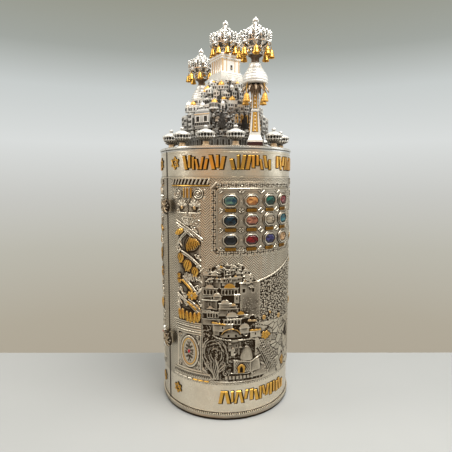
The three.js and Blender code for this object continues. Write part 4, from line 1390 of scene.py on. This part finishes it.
def crown(width, height, band, sides=48):
    """An openwork crown: a beaded band, leafy ribs that rise straight and lean in like a tent, and a knob."""
    clay = Clay()
    wide = width / 2 - 2.0
    crown_band(clay, band, height, sides)
    # the outline that the ribs follow: shares of the height, and how far out they stand there
    stages = [0.20, 0.25, 0.31, 0.38, 0.46, 0.54, 0.60, 0.66, 0.72, 0.78]
    spans = [band + 1] + [wide * share for share in (0.86, 0.96, 1, 1, 0.93, 0.76, 0.54, 0.36, 0.24)]
    arc = np.linspace(0.20, 0.78, 22)
    reach = np.interp(arc, stages, spans)
    # a dark body inside the ribs: painted shade seen through the openwork
    clay.add(lathe([(r * 0.80, height * share) for r, share in zip(spans, stages)], 30), dark=0.82)
    ribs = 10
    for _, t, _, _ in ring(1.0, ribs):
        crown_rib(clay, t, 2 * math.pi / ribs, arc, reach, height)
    hoop = wide + 0.4
    rim = [(-1.6, 0.275), (0.6, 0.28), (0.8, 0.305), (-1.6, 0.31), (-1.6, 0.275)]
    clay.add(lathe([(hoop + out, height * share) for out, share in rim], sides), dark=0.05)
    for _, _, x, y in ring(wide * 0.99, 2 * ribs, math.pi / (2 * ribs)):
        clay.add(moved(ball(2.3, 1.3, 6, 5), x, y, height * 0.55), dark=0.0)
    knob = [(wide * 0.26, 0.765), (wide * 0.27, 0.785), (4.0, 0.80), (3.4, 0.825), (5.6, 0.85), (6.9, 0.89),
            (6.6, 0.93), (4.4, 0.965), (2.0, 0.98), (1.6, 0.995), (0.1, 1)]
    clay.add(lathe([(r, height * share) for r, share in knob], 24, 0.03, 8), dark=0.05)
    return clay


def hung_bells(clay, radius, height, count, size, start=0.0):
    """Gilt bells round a circle; height is where each bell's crown hangs."""
    hoop = [(5.6, -12.4), (6.5, -12.6), (6.3, -13.6), (5.9, -13.4)]
    for _, _, x, y in ring(radius, count, start):
        clay.add(moved(bell(size), x, y, height), 1.0, 0.12)
        clay.add(moved(lathe(hoop, 12), x, y, height, 0, size), 1.0, 0.75)
        clay.add(moved(ball(1.7 * size, 1.0, 6, 4), x, y, height - 17.2 * size), 1.0, 0.5)
        clay.add(tube([(x, y, height - 0.5), (x, y, height + 4.5)], 0.8, 5), 1.0, 0.3)


def squared(profile):
    """A square tower of (half width, height), one side towards the viewer."""
    return lathe([(half * math.sqrt(2), z) for half, z in profile], 4, 0, 0, math.pi / 4 + VIEW)


def inlaid_stage(clay, low, high, wide, slim):
    """A tapering square stage with a dark-edged gilt panel and a row of studs on each side."""
    clay.add(squared([(wide, low), (slim, high)]), dark=0.02)
    taper = (slim - wide) / (high - low)
    for face in range(4):
        turn = face * math.pi / 2 + VIEW
        for grow, lift, gold, dark in ((1.1, 0.5, 0.0, 0.95), (0.0, 1.1, 1.0, 0.10)):
            foot, top = wide * 0.52 + grow, slim * 0.52 + grow
            base, edge = low + 3 - grow, high - 2 + grow
            panel = [(-foot, base), (foot, base), (top, edge), (-top, edge)]
            points, faces = tile(panel, -1.0, lift, 0.4)
            out = points[:, 2] + wide + taper * (points[:, 1] - low)
            upright = np.stack([out, points[:, 0], points[:, 1]], 1)
            clay.add(moved((upright, faces), turn=turn), gilt=gold, dark=dark)
        for k in range(int((high - low - 6) / 3.6)):
            z = low + 5 + k * 3.6
            out = wide + taper * (z - low) + 1.1
            stud = moved(ball(1.5, 1, 6, 4), out * math.cos(turn), out * math.sin(turn), z)
            clay.add(stud, gilt=float(k % 2), dark=0.7 * (k % 2))


def palm_leaves(clay):
    """Drooping leaves round a dark heart, painted shade under them, each of five ribs."""
    # the dark heart is painted shade under the leaves
    clay.add(lathe([(6.0, 102), (6.6, 107), (8.8, 115), (12, 122), (15, 126)], 24), dark=1.0)
    s = np.linspace(0, 1, 10)
    reach = 6.5 + 21.5 * s**1.4
    z = 102 + 25 * np.sin(s * 1.9) - 16 * s**3
    spread = 3.6 * np.sin(np.clip(s * 1.04, 0, 1) * math.pi) + 0.5
    for _, t, _, _ in ring(1.0, 12, VIEW):
        for lean in (-2, -1, 0, 1, 2):
            a = t + lean * 0.6 * spread / reach
            path = np.stack([reach * np.cos(a), reach * np.sin(a), z - abs(lean)], 1)
            clay.add(tube(path, 0.9 - 0.12 * abs(lean), 5), gilt=0.5, dark=0.45 + 0.2 * abs(lean))


def finial_column():
    """A square inlaid column on a flared foot, under dark palm leaves and a stack of rings like a bell."""
    clay = Clay()
    clay.add(squared([(14.6, 9.3), (15.2, 10), (15.2, 13.0), (13.9, 13.8), (13.0, 17), (11.6, 21), (11.0, 24),
                      (10.9, 27.5)]), dark=0.0)
    inlaid_stage(clay, 27, 70, 10.6, 7.3)
    inlaid_stage(clay, 73.5, 106, 6.9, 5.9)
    clay.add(squared([(7.8, 70), (8.4, 71), (8.2, 72.6), (7.2, 73.5)]), dark=0.0)
    palm_leaves(clay)
    # the stack of rings, each point with its tarnish, then the waist and neck
    skirt = [(12, 124, 0.6), (22, 123, 0.2), (25.6, 124.6, 0), (26.2, 127, 0), (25.0, 128.4, 0.5), (25.6, 129.6, 0),
             (25.4, 133, 0), (24.6, 134.6, 0.45), (24.8, 136.6, 0), (24.2, 139, 0), (22.4, 140.6, 0.45),
             (22.6, 142.6, 0), (21.0, 145, 0), (18.4, 146.6, 0.4), (18.0, 149.4, 0), (15.4, 153, 0),
             (13.6, 154.4, 0.4), (13.4, 157, 0), (12.0, 160, 0), (11.2, 162.4, 0.3), (11.6, 163.4, 0), (10, 164.4, 0)]
    sides = 56
    profile = [(r, z) for r, z, _ in skirt]
    clay.add(lathe(profile, sides, 0.015, 14), dark=np.repeat([dark for _, _, dark in skirt], sides))
    neck = [(10, 164.2), (7.6, 166), (7.0, 169), (7.4, 173), (9.2, 176), (13.0, 178.4), (14.0, 179.4)]
    clay.add(lathe(neck, 32, 0.10, 8), gilt=0.45, dark=0.92)
    corner = math.pi / 4 + VIEW
    hung_bells(clay, 25.5, 105, 4, 1.05, corner)
    for _, _, x, y in ring(1.0, 4, corner):
        chain = [(25.5 * x, 25.5 * y, 108), (25 * x, 25 * y, 116), (23 * x, 23 * y, 124)]
        clay.add(tube(chain, 0.8, 5), 1.0, 0.3)
    return clay


def rim_ornaments():
    """Twelve bowls round the rim, and a tall finial on each half."""
    bowl, gold, shade = rim_bowl()
    sunk = 8.0  # how far a finial's crown hangs below its solid
    for side, body, turned in HALVES:
        for i in range(6):
            node = f"{side}_bowl_{i + 1}"
            low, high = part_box(node)
            middle = (low + high) / 2 / MM
            clay = Clay()
            clay.add(moved(bowl, middle.x, middle.y, RIM), gilt=gold, dark=shade)
            finished(f"{node}_cup", clay, FROSTED, body, [node])
        foot = Clay()
        foot.add(squared([(0.2 / math.sqrt(2), 0.02), (14.6, 0), (15.4, 1.2), (15.4, 7.4), (14.8, 9),
                          (0.2 / math.sqrt(2), 9.2)]))
        low, high = FINIAL_CROWN_BOX
        top = crown(high.x - low.x, high.z - low.z + sunk - 3, 15)
        hung_bells(top, 31.5, 12, 8, 1.0, 0.2)
        on_rim, over = (FINIAL_X, 0, RIM), (FINIAL_X, 0, low.z - sunk)
        named = f"{side}_finial"
        finished_at(on_rim, f"{named}_block", foot, MAROON, body, [f"{named}_foot"], turned)
        finished_at(on_rim, f"{named}_stem", finial_column(), FROSTED, body, [f"{named}_column"],
                    turned)
        finished_at(over, f"{named}_top", top, BRIGHT, body, [f"{named}_crown"], turned)


# ---- the city on top ----
def on_hill(share, turn, out=0.0):
    """The point at a bearing on an oval that is a share of the hill's width, and out beyond it."""
    return (CITY_HALF.x * share + out) * math.cos(turn), (CITY_HALF.y * share + out) * math.sin(turn)


def hill_place(share, across, out=0.0):
    """A point on the hill's oval, across the view from its middle, and the bearing that it faces."""
    radius = share * (CITY_HALF.x + CITY_HALF.y) / 2
    turn = VIEW + math.asin(max(-1.0, min(1.0, across / radius)))
    return *on_hill(share, turn, out), turn


def dome_profile(size):
    """A bulging dome with a spike, by its radius."""
    return [(size, 0), (size * 0.98, 1.8), (size * 1.05, 2.2), (size * 1.02, size * 0.5), (size * 0.84, size * 0.95),
            (size * 0.5, size * 1.25), (size * 0.12, size * 1.45), (size * 0.1, size * 1.7), (0.1, size * 1.9)]


def top_house(clay, x, y, z, width, depth, height, turn, draw, kind, tone=0.2, rows=1):
    """A white house with dark windows in pale frames and a flat, walled, gabled or domed roof."""
    def put_on(shape, out, across, up, **look):
        clay.add(facing(shape, turn, out, across, z + up, x, y), **look)

    # the walls are darker at the foot than at the top: painted shade
    put_on(crate(depth, width, height), 0, 0, 0, dark=[tone + 0.3] * 4 + [tone - 0.1] * 4)
    count = max(1, int(width / 5.0))
    for row in range(rows):
        tall = min(6.0, height / rows * 0.62)
        up = height * (row + 0.22) / rows
        for k in range(count):
            across = (k - (count - 1) / 2) * width / (count + 0.15)
            put_on(crate(1.0, 3.3, tall), depth / 2, across, up, dark=0.98)
            put_on(crate(1.6, 4.2, 0.9), depth / 2, across, up + tall, dark=0.0)
        put_on(crate(1.8, width + 0.6, 0.8), depth / 2, 0, up - 1.2, dark=0.0)
    for face in (-1, 1):
        put_on(crate(2.6, 1.0, height * 0.45), depth * 0.15, face * width / 2, height * 0.3, dark=1.0)
    if kind == "flat":
        put_on(crate(depth + 1.6, width + 1.6, 1.2), 0, 0, height, dark=0.0)
        put_on(crate(depth * 0.6, width * 0.6, 2.0), 0, 0, height + 1, dark=tone)
    elif kind == "walled":
        put_on(crate(depth + 1.4, width + 1.4, 1.0), 0, 0, height, dark=0.0)
        for k in range(int(width / 3.4)):
            put_on(crate(1.6, 1.9, 2.6), depth / 2, (k + 0.5) * 3.4 - width / 2, height + 0.8, dark=0.0)
    elif kind == "gable":
        roof = crate(depth + 1, width + 1, width * 0.26, min(depth, width) * 0.46)
        put_on(crate(depth + 2, width + 2, 1.2), 0, 0, height, dark=0.0)
        # the roof is darker at its eaves than at its ridge: painted shade
        put_on(roof, 0, 0, height + 1.1, dark=[tone + 0.5] * 4 + [tone] * 4)
    else:
        put_on(crate(depth + 1.2, width + 1.2, 1.0), 0, 0, height, dark=0.0)
        dome = lathe(dome_profile(min(width, depth) * 0.5), 14, 0.03, 7)
        put_on(dome, 0, 0, height + 0.8, gilt=float(kind == "gold"), dark=0.05)


def city_core(clay):
    """The hill's rough stonework in dark steps, drawn in towards the temple."""
    # shares of the hill's width, and heights
    steps = [(0.86, 0), (0.84, 20), (0.86, 38), (0.91, 40), (0.90, 58), (0.88, 72), (0.74, 78), (0.68, 100),
             (0.56, 104), (0.53, 122), (0.42, 126), (0.40, 146), (0.05, 147)]
    points, faces = lathe(steps, 90)
    a = np.arctan2(points[:, 1], points[:, 0])
    bumps = 1 + 0.03 * np.sin(11 * a + points[:, 2]) + 0.025 * np.sin(23 * a - 0.6 * points[:, 2])
    points[:, 0] *= CITY_HALF.x * bumps
    points[:, 1] *= CITY_HALF.y * bumps
    clay.add((points, faces), dark=1.0)


def stonework(clay, draw, count, first, last, low, high, share, gilt=0.0):
    """Small rough blocks packed over part of the hill's side, between two bearings and two heights."""
    for _ in range(count):
        turn = VIEW + math.radians(draw.uniform(first, last))
        z = draw.uniform(low, high)
        x, y = on_hill(share + draw.uniform(-0.02, 0.02), turn)
        size = draw.uniform(1.4, 3.4)
        shape = crate(size, size * draw.uniform(0.8, 2.2), size * draw.uniform(0.8, 1.6), size * 0.2)
        gold = gilt * float(draw.random() < 0.2)
        clay.add(moved(shape, x, y, z, turn), gilt=gold, dark=draw.uniform(0.1, 1.0) ** 0.45)


def arcade(clay, count, share, low, tall, tone, gold=0.0, first=0.0, last=360.0):
    """Round-headed dark openings between pale posts, under a ledge, along part of the hill's side."""
    gap = math.radians(last - first) / count * share * CITY_HALF.x
    wide = gap * 0.5
    spring = low + 1 + tall * 0.66
    arch = [(wide * 0.56 * math.cos(t), spring + wide * 0.5 * math.sin(t)) for t in np.linspace(0, math.pi, 8)]
    frame_line = [(wide * 0.56, low + 1), *arch, (-wide * 0.56, low + 1)]
    for k in range(count):
        turn = VIEW + math.radians(first + (last - first) * k / max(1, count - (last - first < 360)))
        x, y = on_hill(share, turn)
        c, s = math.cos(turn), math.sin(turn)
        path = [(x + c * 1.3 - s * across, y + s * 1.3 + c * across, z) for across, z in frame_line]
        clay.add(moved(crate(1.0, gap * 1.04, tall), x, y, low, turn), dark=tone + 0.1)
        clay.add(moved(crate(2.2, wide, tall * 0.66), x, y, low + 1, turn), dark=1.0)
        clay.add(tube(path, 0.8, 5), gilt=gold, dark=0.0 if gold else tone)
        clay.add(moved(crate(3.0, gap * 1.06, 1.4), x, y, low + tall + wide * 0.35, turn), dark=tone - 0.2)


def small_tree(clay, x, y, z, size, draw):
    """A thin stem under a few round tufts."""
    clay.add(moved(lathe([(0.9, 0), (0.7, size)], 5), x, y, z), dark=0.5)
    for k in range(6):
        dx, dy = draw.uniform(-0.5, 0.5, 2) * size
        up = size * draw.uniform(0.9, 1.7)
        clay.add(moved(ball(size * 0.36, 1.0, 6, 4), x + dx, y + dy, z + up), dark=draw.uniform(0, 0.7))


def house_rows(clay, draw):
    """Rows of houses round the hill: share of its width, foot, height, number, tone and kinds of roof."""
    for share, low, tall, count, tone, kinds in (
        (0.83, 22, 17, 34, 0.45, ("flat", "gable", "flat", "walled", "dome")),
        (0.93, 39, 34, 30, 0.34, ("walled", "gable", "walled", "flat")),
        (0.80, 74, 15, 30, 0.12, ("flat", "dome", "walled", "dome", "gable")),
        (0.62, 84, 20, 22, 0.10, ("dome", "flat", "walled", "gold", "flat")),
        (0.50, 102, 18, 18, 0.06, ("dome", "flat", "walled", "dome")),
        (0.43, 116, 16, 16, 0.10, ("flat", "dome", "gold", "walled", "flat")),
        (0.36, 130, 12, 14, 0.16, ("dome", "flat", "gold", "flat", "dome")),
    ):
        upper = low > 60
        for k in range(count):
            turn = VIEW + 2 * math.pi * (k + draw.uniform(-0.2, 0.2)) / count
            off = math.degrees((turn - VIEW + math.pi) % (2 * math.pi) - math.pi)
            size = 2 * math.pi * share * CITY_HALF.x / count * draw.uniform(0.6, 0.86)
            kind = kinds[draw.integers(0, len(kinds))]
            height = tall * draw.uniform(0.7, 1.0)
            lift = draw.uniform(0, 3) if upper else 0.0
            if low == 39 and -40 < off < 42:
                continue  # the stonework and arcade that face the viewer fill this gap
            x, y = on_hill(share, turn)
            rows = 3 if height > 28 else 1 + int(height > 13)
            shade = tone + draw.uniform(-0.08, 0.14)
            top_house(clay, x, y, low + lift, size, 11, height, turn, draw, kind, shade, rows)
            if upper and k % 2:
                small_tree(clay, x * 1.08, y * 1.08, low - 1, 3.4, draw)


def gabled_house(clay, draw):
    """A large house with two tall framed windows, facing left of the viewer."""
    x, y, turn = hill_place(0.88, -41)
    top_house(clay, x, y, 39, 36, 12, 30, turn, draw, "gable", 0.42)
    out = 6.4
    for side in (-1, 1):
        clay.add(facing(crate(1.6, 10.5, 13), turn, out, side * 9.5, 52, x, y), dark=0.0)
        clay.add(facing(crate(2.2, 7.4, 11), turn, out, side * 9.5, 53, x, y), dark=1.0)
    clay.add(facing(crate(1.4, 37, 1.2), turn, out, 0, 68, x, y), gilt=0.8, dark=0.1)


def round_hall(clay):
    """A low round building with dark openings, under the gilt dome left of the middle."""
    x, y, _ = hill_place(0.80, -18, 3.0)
    walls = [(11, 78), (11.4, 78.6), (11.4, 80), (10, 81), (10, 90), (10.8, 91), (0.1, 91.4)]
    clay.add(moved(lathe(walls, 20), x, y, 0), dark=0.1)
    for _, t, dx, dy in ring(10.1, 20):
        clay.add(moved(crate(1.0, 1.6, 6.5), x + dx, y + dy, 82.4, t), dark=0.95)


def city():
    """The hill city: dark arcades and stonework low down, then rows of white houses with bright domes."""
    clay = Clay()
    draw = np.random.default_rng(21)
    city_core(clay)
    arcade(clay, 46, 0.88, 0, 22, 0.75)
    house_rows(clay, draw)
    gabled_house(clay, draw)
    stonework(clay, draw, 420, -18, 24, 38, 78, 0.89, 0.3)
    stonework(clay, draw, 160, -40, 42, 22, 40, 0.90, 0.2)
    arcade(clay, 4, 0.90, 50, 22, 0.35, 1.0, 18, 40)
    # houses that face the viewer: place across the view, foot, width, height, share of the hill, roof
    for across, foot, wide, tall, share, kind in (
        (17, 80, 19, 16, 0.74, "gold"), (-18, 76, 19, 14, 0.77, "gold"), (-62, 74, 12, 14, 0.88, "gold"),
        (-41, 112, 7, 6, 0.62, "gold"), (-6, 124, 14, 8, 0.46, "gold"), (26, 130, 8, 7, 0.46, "gold"),
        (-22, 132, 7, 7, 0.44, "gold"), (-29, 116, 14, 9, 0.52, "flat"), (4, 106, 15, 8, 0.56, "flat"),
        (42, 90, 13, 12, 0.70, "walled"), (-74, 78, 12, 14, 0.84, "dome"), (-52, 92, 12, 12, 0.72, "flat"),
    ):
        x, y, turn = hill_place(share, across, 2.0)
        top_house(clay, x, y, foot, wide, 13, tall, turn, draw, kind, 0.06)
    round_hall(clay)
    terrace(clay)
    finished_at((0, 0, RIM), "hill_city", clay, FROSTED, "left_half", ["city"])


def terrace(clay):
    """White steps under the temple with fine ledges, over a block with small bright posts and dark niches."""
    steps = ((143, 148, 33), (147, 151.5, 31.4), (151, 155.4, 29.8), (155, 159.4, 28.4), (159, 163.8, 27.2))
    for low, high, half in steps:
        # each riser is darker at its foot: painted shade
        clay.add(moved(crate(half * 2, half * 2, high - low - 0.9, 0.4), z=low), dark=[0.2] * 4 + [0.0] * 4)
        clay.add(moved(crate(half * 2 + 0.9, half * 2 + 0.9, 0.9), z=high - 0.9), dark=0.0)
    clay.add(moved(crate(60, 60, 14), z=130), dark=0.5)
    for k in range(20):
        face, place = k % 4, k // 4
        turn, across = face * math.pi / 2, -26 + place * 13
        clay.add(facing(crate(3, 4.5, 6.5, 0.4), turn, 32, across, 136), gilt=float(place % 2), dark=0.15)
        clay.add(facing(crate(1.4, 2.4, 4.5), turn, 33.6, across, 136.4), dark=0.9)


def temple():
    """A white house under a gilt-edged cornice, with columns at front and back and a window in each side."""
    clay = Clay()
    tall = TEMPLE_TOP - TEMPLE_Z
    clay.add(crate(50.5, 50.5, 2.4, 0.4), dark=0.0)
    # the walls are slightly darker at the foot: painted shade
    clay.add(moved(crate(46, 46, tall - 9), z=2), dark=[0.06] * 4 + [0.0] * 4)
    # the cornice's layers: width, height, how far in the top is drawn, how far down they start, gilding
    for wide, high, lean, drop, gold in ((49.5, 3.4, 0.0, 10.8, 0.0), (50.2, 0.8, 0.0, 7.6, 1.0),
                                         (50.6, 4.4, -0.8, 6.8, 0.0), (53, 0.8, 0.0, 2.6, 1.0),
                                         (52, 1.7, 0.6, 1.8, 0.0)):
        clay.add(moved(crate(wide, wide, high, lean), z=tall - drop), gilt=gold, dark=0.2 * gold)
    column = [(2.1, 2.4), (2.1, 4), (1.6, 4.6), (1.5, tall - 13), (2.2, tall - 11.8), (2.2, tall - 10.6)]
    for face in range(4):
        turn = -math.pi / 2 + face * math.pi / 2

        def on_face(shape, out, across, z, **look):
            clay.add(facing(shape, turn, out, across, z), **look)

        if face % 2 == 0:
            for k in range(6):
                across = -20.5 + 41 * k / 5
                on_face(lathe(column, 10), 23.6, across, 0, dark=0.0)
                on_face(crate(0.9, 1.5, tall - 14), 23.0, across + 2.9, 3, gilt=1.0, dark=0.15)
                on_face(crate(0.9, 1.6, tall - 14), 22.9, across - 2.9, 3, dark=0.5)
        else:
            for share in (0.06, 0.26, 0.72, 0.94):
                on_face(crate(1.2, 1.3, tall - 13), 22.8, (share - 0.5) * 46, 2.6, gilt=1.0, dark=0.15)
            on_face(crate(1.3, 7.0, 11.5), 22.9, 0.8, 7, dark=0.0)
            on_face(crate(1.6, 5.2, 9.6), 23.0, 0.8, 8, dark=1.0)
            on_face(crate(2.0, 5.2, 0.9), 23.0, 0.8, 11, gilt=0.6, dark=0.2)
            on_face(crate(1.2, 44, 1.0), 23.0, 0, tall - 14, gilt=0.7, dark=0.2)
    finished_at((0, 0, TEMPLE_Z), "temple_house", clay, FROSTED, "left_half", ["temple"])
    low, high = CROWN_BOX
    top = crown(high.x - low.x, high.z - low.z, 17)
    hung_bells(top, 30, 15, 10, 0.95, 0.2)
    finished_at((0, 0, low.z), "temple_crown_top", top, BRIGHT, "left_half", ["temple_crown"])


# ---- clasps and hinges ----
def hasp_cover(v, back, front):
    """A scalloped plate with leaves curling out from a boss ringed by beads, on a sleeve round the pin."""
    clay = Clay()
    middle = 11.5
    outline = [(-15, -5), (-13, -12), (-5, -16), (2, -19), (8, -15), (15, -10), (18.5, -3), (18.5, 4), (14, 11),
               (7, 14), (0, 15), (-8, 13), (-14, 7)]
    points, faces = tile(outline, 0, back - front, 1.2)
    plate = np.stack([points[:, 0] + middle, back - points[:, 2], points[:, 1] + v], 1)
    clay.add((plate, faces), dark=0.75)
    t = np.linspace(0.25, 1, 8)
    for k, a, _, _ in ring(1.0, 13, math.pi / 2):
        reach = 15.5 if k % 2 else 11.5
        across, up = reach * 1.1 * t * np.cos(a + 0.5 * t), reach * t * np.sin(a + 0.5 * t)
        path = np.stack([middle + across, front - 1.0 - 1.6 * np.sin(t * math.pi), v - 1 + up], 1)
        clay.add(tube(path, 1.15, 6), gilt=0.35, dark=0.15 + 0.5 * (k % 3 == 0))
        clay.add(moved(ball(1.7, 1.0, 6, 4), *path[-1]), dark=0.0)
    clay.add(moved(ball(4.2, 1.0, 12, 8), middle, front - 0.6, v + 1), gilt=0.3, dark=0.35)
    for _, _, across, up in ring(4.6, 7):
        clay.add(moved(ball(1.5, 1.0, 6, 4), middle + across, front - 2.2, v + 1 + up), dark=0.0)
    sleeve = [(0.2, -9), (3.6, -9), (4.2, -7.6), (3.8, -6), (3.8, 6), (4.2, 7.6), (3.6, 9), (0.2, 9)]
    clay.add(moved(lathe(sleeve, 14), PIN_X, PIN_Y, v), dark=0.2)
    return clay


def hasp_knob(v):
    """A turned knob above the sleeve and a pointed drop below it."""
    clay = Clay()
    top = [(0.2, 0), (2.4, 0.2), (3.0, 1.2), (1.8, 2.4), (3.6, 4.2), (4.4, 6.6), (3.6, 9.0), (1.4, 10.4), (0.2, 10.6)]
    drop = [(0.2, -12), (1.2, -9.6), (2.8, -5), (2.2, -1.8), (3.2, -0.4), (0.2, 0)]
    clay.add(moved(lathe(top, 16), PIN_X, PIN_Y, v + 12.5), dark=0.0)
    clay.add(moved(lathe(drop, 12), PIN_X, PIN_Y, v - 13), dark=0.1)
    return clay


def clasps():
    """A leafy cover on each hasp; the posts, pegs and hinges keep their own solids in a better metal."""
    for place, v in (("upper", 445), ("lower", 156)):
        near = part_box(f"{place}_hasp")[0].y / MM
        node = f"{place}_hasp"
        finished(f"{node}_cover", hasp_cover(v, near + 3.4, near + 0.6), DARK, node, [node])
        finished(f"{node}_knob", hasp_knob(v), BRIGHT, "left_half")
    for name, node in frame["nodes"].items():
        if "hinge" in name or "post" in name or "peg" in name:
            look = GILT if "pin" in name else DARK
            for slot in node.material_slots:
                slot.material = look


GILT = metal("gilt", GOLD_LIGHT, GOLD_DARK, rough=(0.2, 0.45))
RED_STONE = stone("red_stone", (0.09, 0.001, 0.002, 1), (0.6, 0.01, 0.02, 1))

for side, body, turned in HALVES:
    shell(side, body, turned)
    lining(side, body, turned)
    wall_surfaces(side, body, turned)
    mouldings(side, body, turned)
    bands(side, body, turned)
wall_reliefs()
breastplate()
tablets()
rim_ornaments()
city()
temple()
clasps()


# ---- floor, light and camera ----
def floor():
    """A pale shelf, running on towards the viewer and ending in a straight edge behind the case."""
    n = Nodes("pale_floor")
    n.link(n.mix(n.noise(3.0), (0.43, 0.44, 0.435, 1), (0.47, 0.475, 0.47, 1)), n.shader.inputs["Base Color"])
    n.shader.inputs["Roughness"].default_value = 0.4
    behind, front, side = 0.18, 4.0, 4.0
    c, s = math.cos(VIEW), math.sin(VIEW)
    places = ((front, -side), (front, side), (-behind, side), (-behind, -side))
    mesh = bpy.data.meshes.new("floor")
    mesh.from_pydata([(c * a - s * b, s * a + c * b, 0) for a, b in places], [], [(0, 1, 2, 3)])
    mesh.materials.append(n.material)
    shelf = bpy.data.objects.new("floor", mesh)
    bpy.context.scene.collection.objects.link(shelf)


def lamp(name, bearing, elevation, distance, size, watts, color):
    """A soft rectangular light at a bearing from +X and an elevation, looking at the middle of the case."""
    data = bpy.data.lights.new(name, "AREA")
    data.shape = "RECTANGLE"
    data.size, data.size_y = size
    data.energy = watts
    data.color = color
    made = bpy.data.objects.new(name, data)
    bpy.context.scene.collection.objects.link(made)
    aim = Vector((0, 0, 0.45))
    a, e = math.radians(bearing), math.radians(elevation)
    out = Vector((math.cos(e) * math.cos(a), math.cos(e) * math.sin(a), math.sin(e)))
    made.location = aim + distance * out
    made.rotation_euler = (aim - made.location).to_track_quat("-Z", "Y").to_euler()
    made.visible_camera = False


def camera():
    """Six drum radii away and a little above the middle, looking slightly down at the breastplate side."""
    distance, height = 6.3563 * R * MM, 3.4363 * R * MM
    turn, dip = VIEW + math.pi - 0.0013, 0.11565
    data = bpy.data.cameras.new("camera")
    data.sensor_width = 36.0
    data.lens = 31.5956
    made = bpy.data.objects.new("camera", data)
    bpy.context.scene.collection.objects.link(made)
    made.location = (distance * math.cos(VIEW), distance * math.sin(VIEW), height)
    ahead = Vector((math.cos(turn) * math.cos(dip), math.sin(turn) * math.cos(dip), -math.sin(dip)))
    made.rotation_euler = ahead.to_track_quat("-Z", "Y").to_euler()
    bpy.context.scene.camera = made
    bpy.context.scene.view_settings.view_transform = "Standard"


def world():
    """A soft room by direction: pale walls, bright above, warm glows and one dark gap round the viewer."""
    made = bpy.data.worlds.new("studio")
    made.use_nodes = True
    n = Nodes.__new__(Nodes)
    n.tree = made.node_tree
    background = n.tree.nodes["Background"]
    place = n.node("ShaderNodeTexCoord").outputs["Generated"]
    x, y, z = n.node("ShaderNodeSeparateXYZ", {0: place}).outputs
    bearing = n.sums("ARCTAN2", y, x)
    rising = n.sums("ARCSINE", z)
    height = n.sums("MULTIPLY_ADD", rising, 1 / math.pi, 0.5)
    ramp = n.node("ShaderNodeValToRGB", {0: height})
    # the room's color at each elevation in degrees
    stops = [(-90, (0.55, 0.55, 0.53)), (-26, (0.42, 0.37, 0.29)), (-18, (0.44, 0.40, 0.32)),
             (-9, (0.50, 0.485, 0.42)), (-2, (0.58, 0.58, 0.55)), (5, (0.70, 0.72, 0.71)),
             (12, (0.58, 0.61, 0.60)), (17, (0.36, 0.38, 0.35)), (24, (0.30, 0.30, 0.24)),
             (40, (0.55, 0.54, 0.50)), (90, (1.05, 1.03, 0.98))]
    marks = ramp.color_ramp.elements
    while len(marks) < len(stops):
        marks.new(0.5)
    for mark, (elevation, color) in zip(marks, stops):
        mark.position = elevation / 180 + 0.5
        mark.color = (*color, 1)
    color = ramp.outputs[0]
    # each glow's bearing, width, elevation, height, color and strength
    for turn, wide, elevation, tall, tint, share in (
        (-62, 24, 0, 15, (1.05, 0.50, 0.16), 0.95), (19, 9, 6, 9, (1.1, 0.56, 0.20), 0.95),
        (-15, 13, 8, 14, (0.06, 0.055, 0.04), 0.85), (-75, 60, -30, 30, (0.62, 0.47, 0.30), 0.5),
    ):
        away = n.sums("DIVIDE", n.sums("SUBTRACT", bearing, math.radians(turn)), math.radians(wide))
        up = n.sums("DIVIDE", n.sums("SUBTRACT", rising, math.radians(elevation)), math.radians(tall))
        far = n.sums("ADD", n.sums("MULTIPLY", away, away), n.sums("MULTIPLY", up, up))
        amount = n.sums("MULTIPLY", n.sums("POWER", 0.5, far), share)
        color = n.mix(amount, color, (*tint, 1))
    n.link(color, background.inputs["Color"])
    background.inputs["Strength"].default_value = 1.0
    bpy.context.scene.world = made


floor()
world()
camera()
lamp("top_light", 10, 62, 1.5, (1.0, 0.7), 30, (1.0, 0.99, 0.96))
lamp("left_light", -110, 40, 1.6, (0.5, 1.2), 9, (1.0, 0.97, 0.92))
lamp("right_light", 66, 22, 1.6, (0.8, 1.4), 3.5, (0.95, 0.98, 1.0))
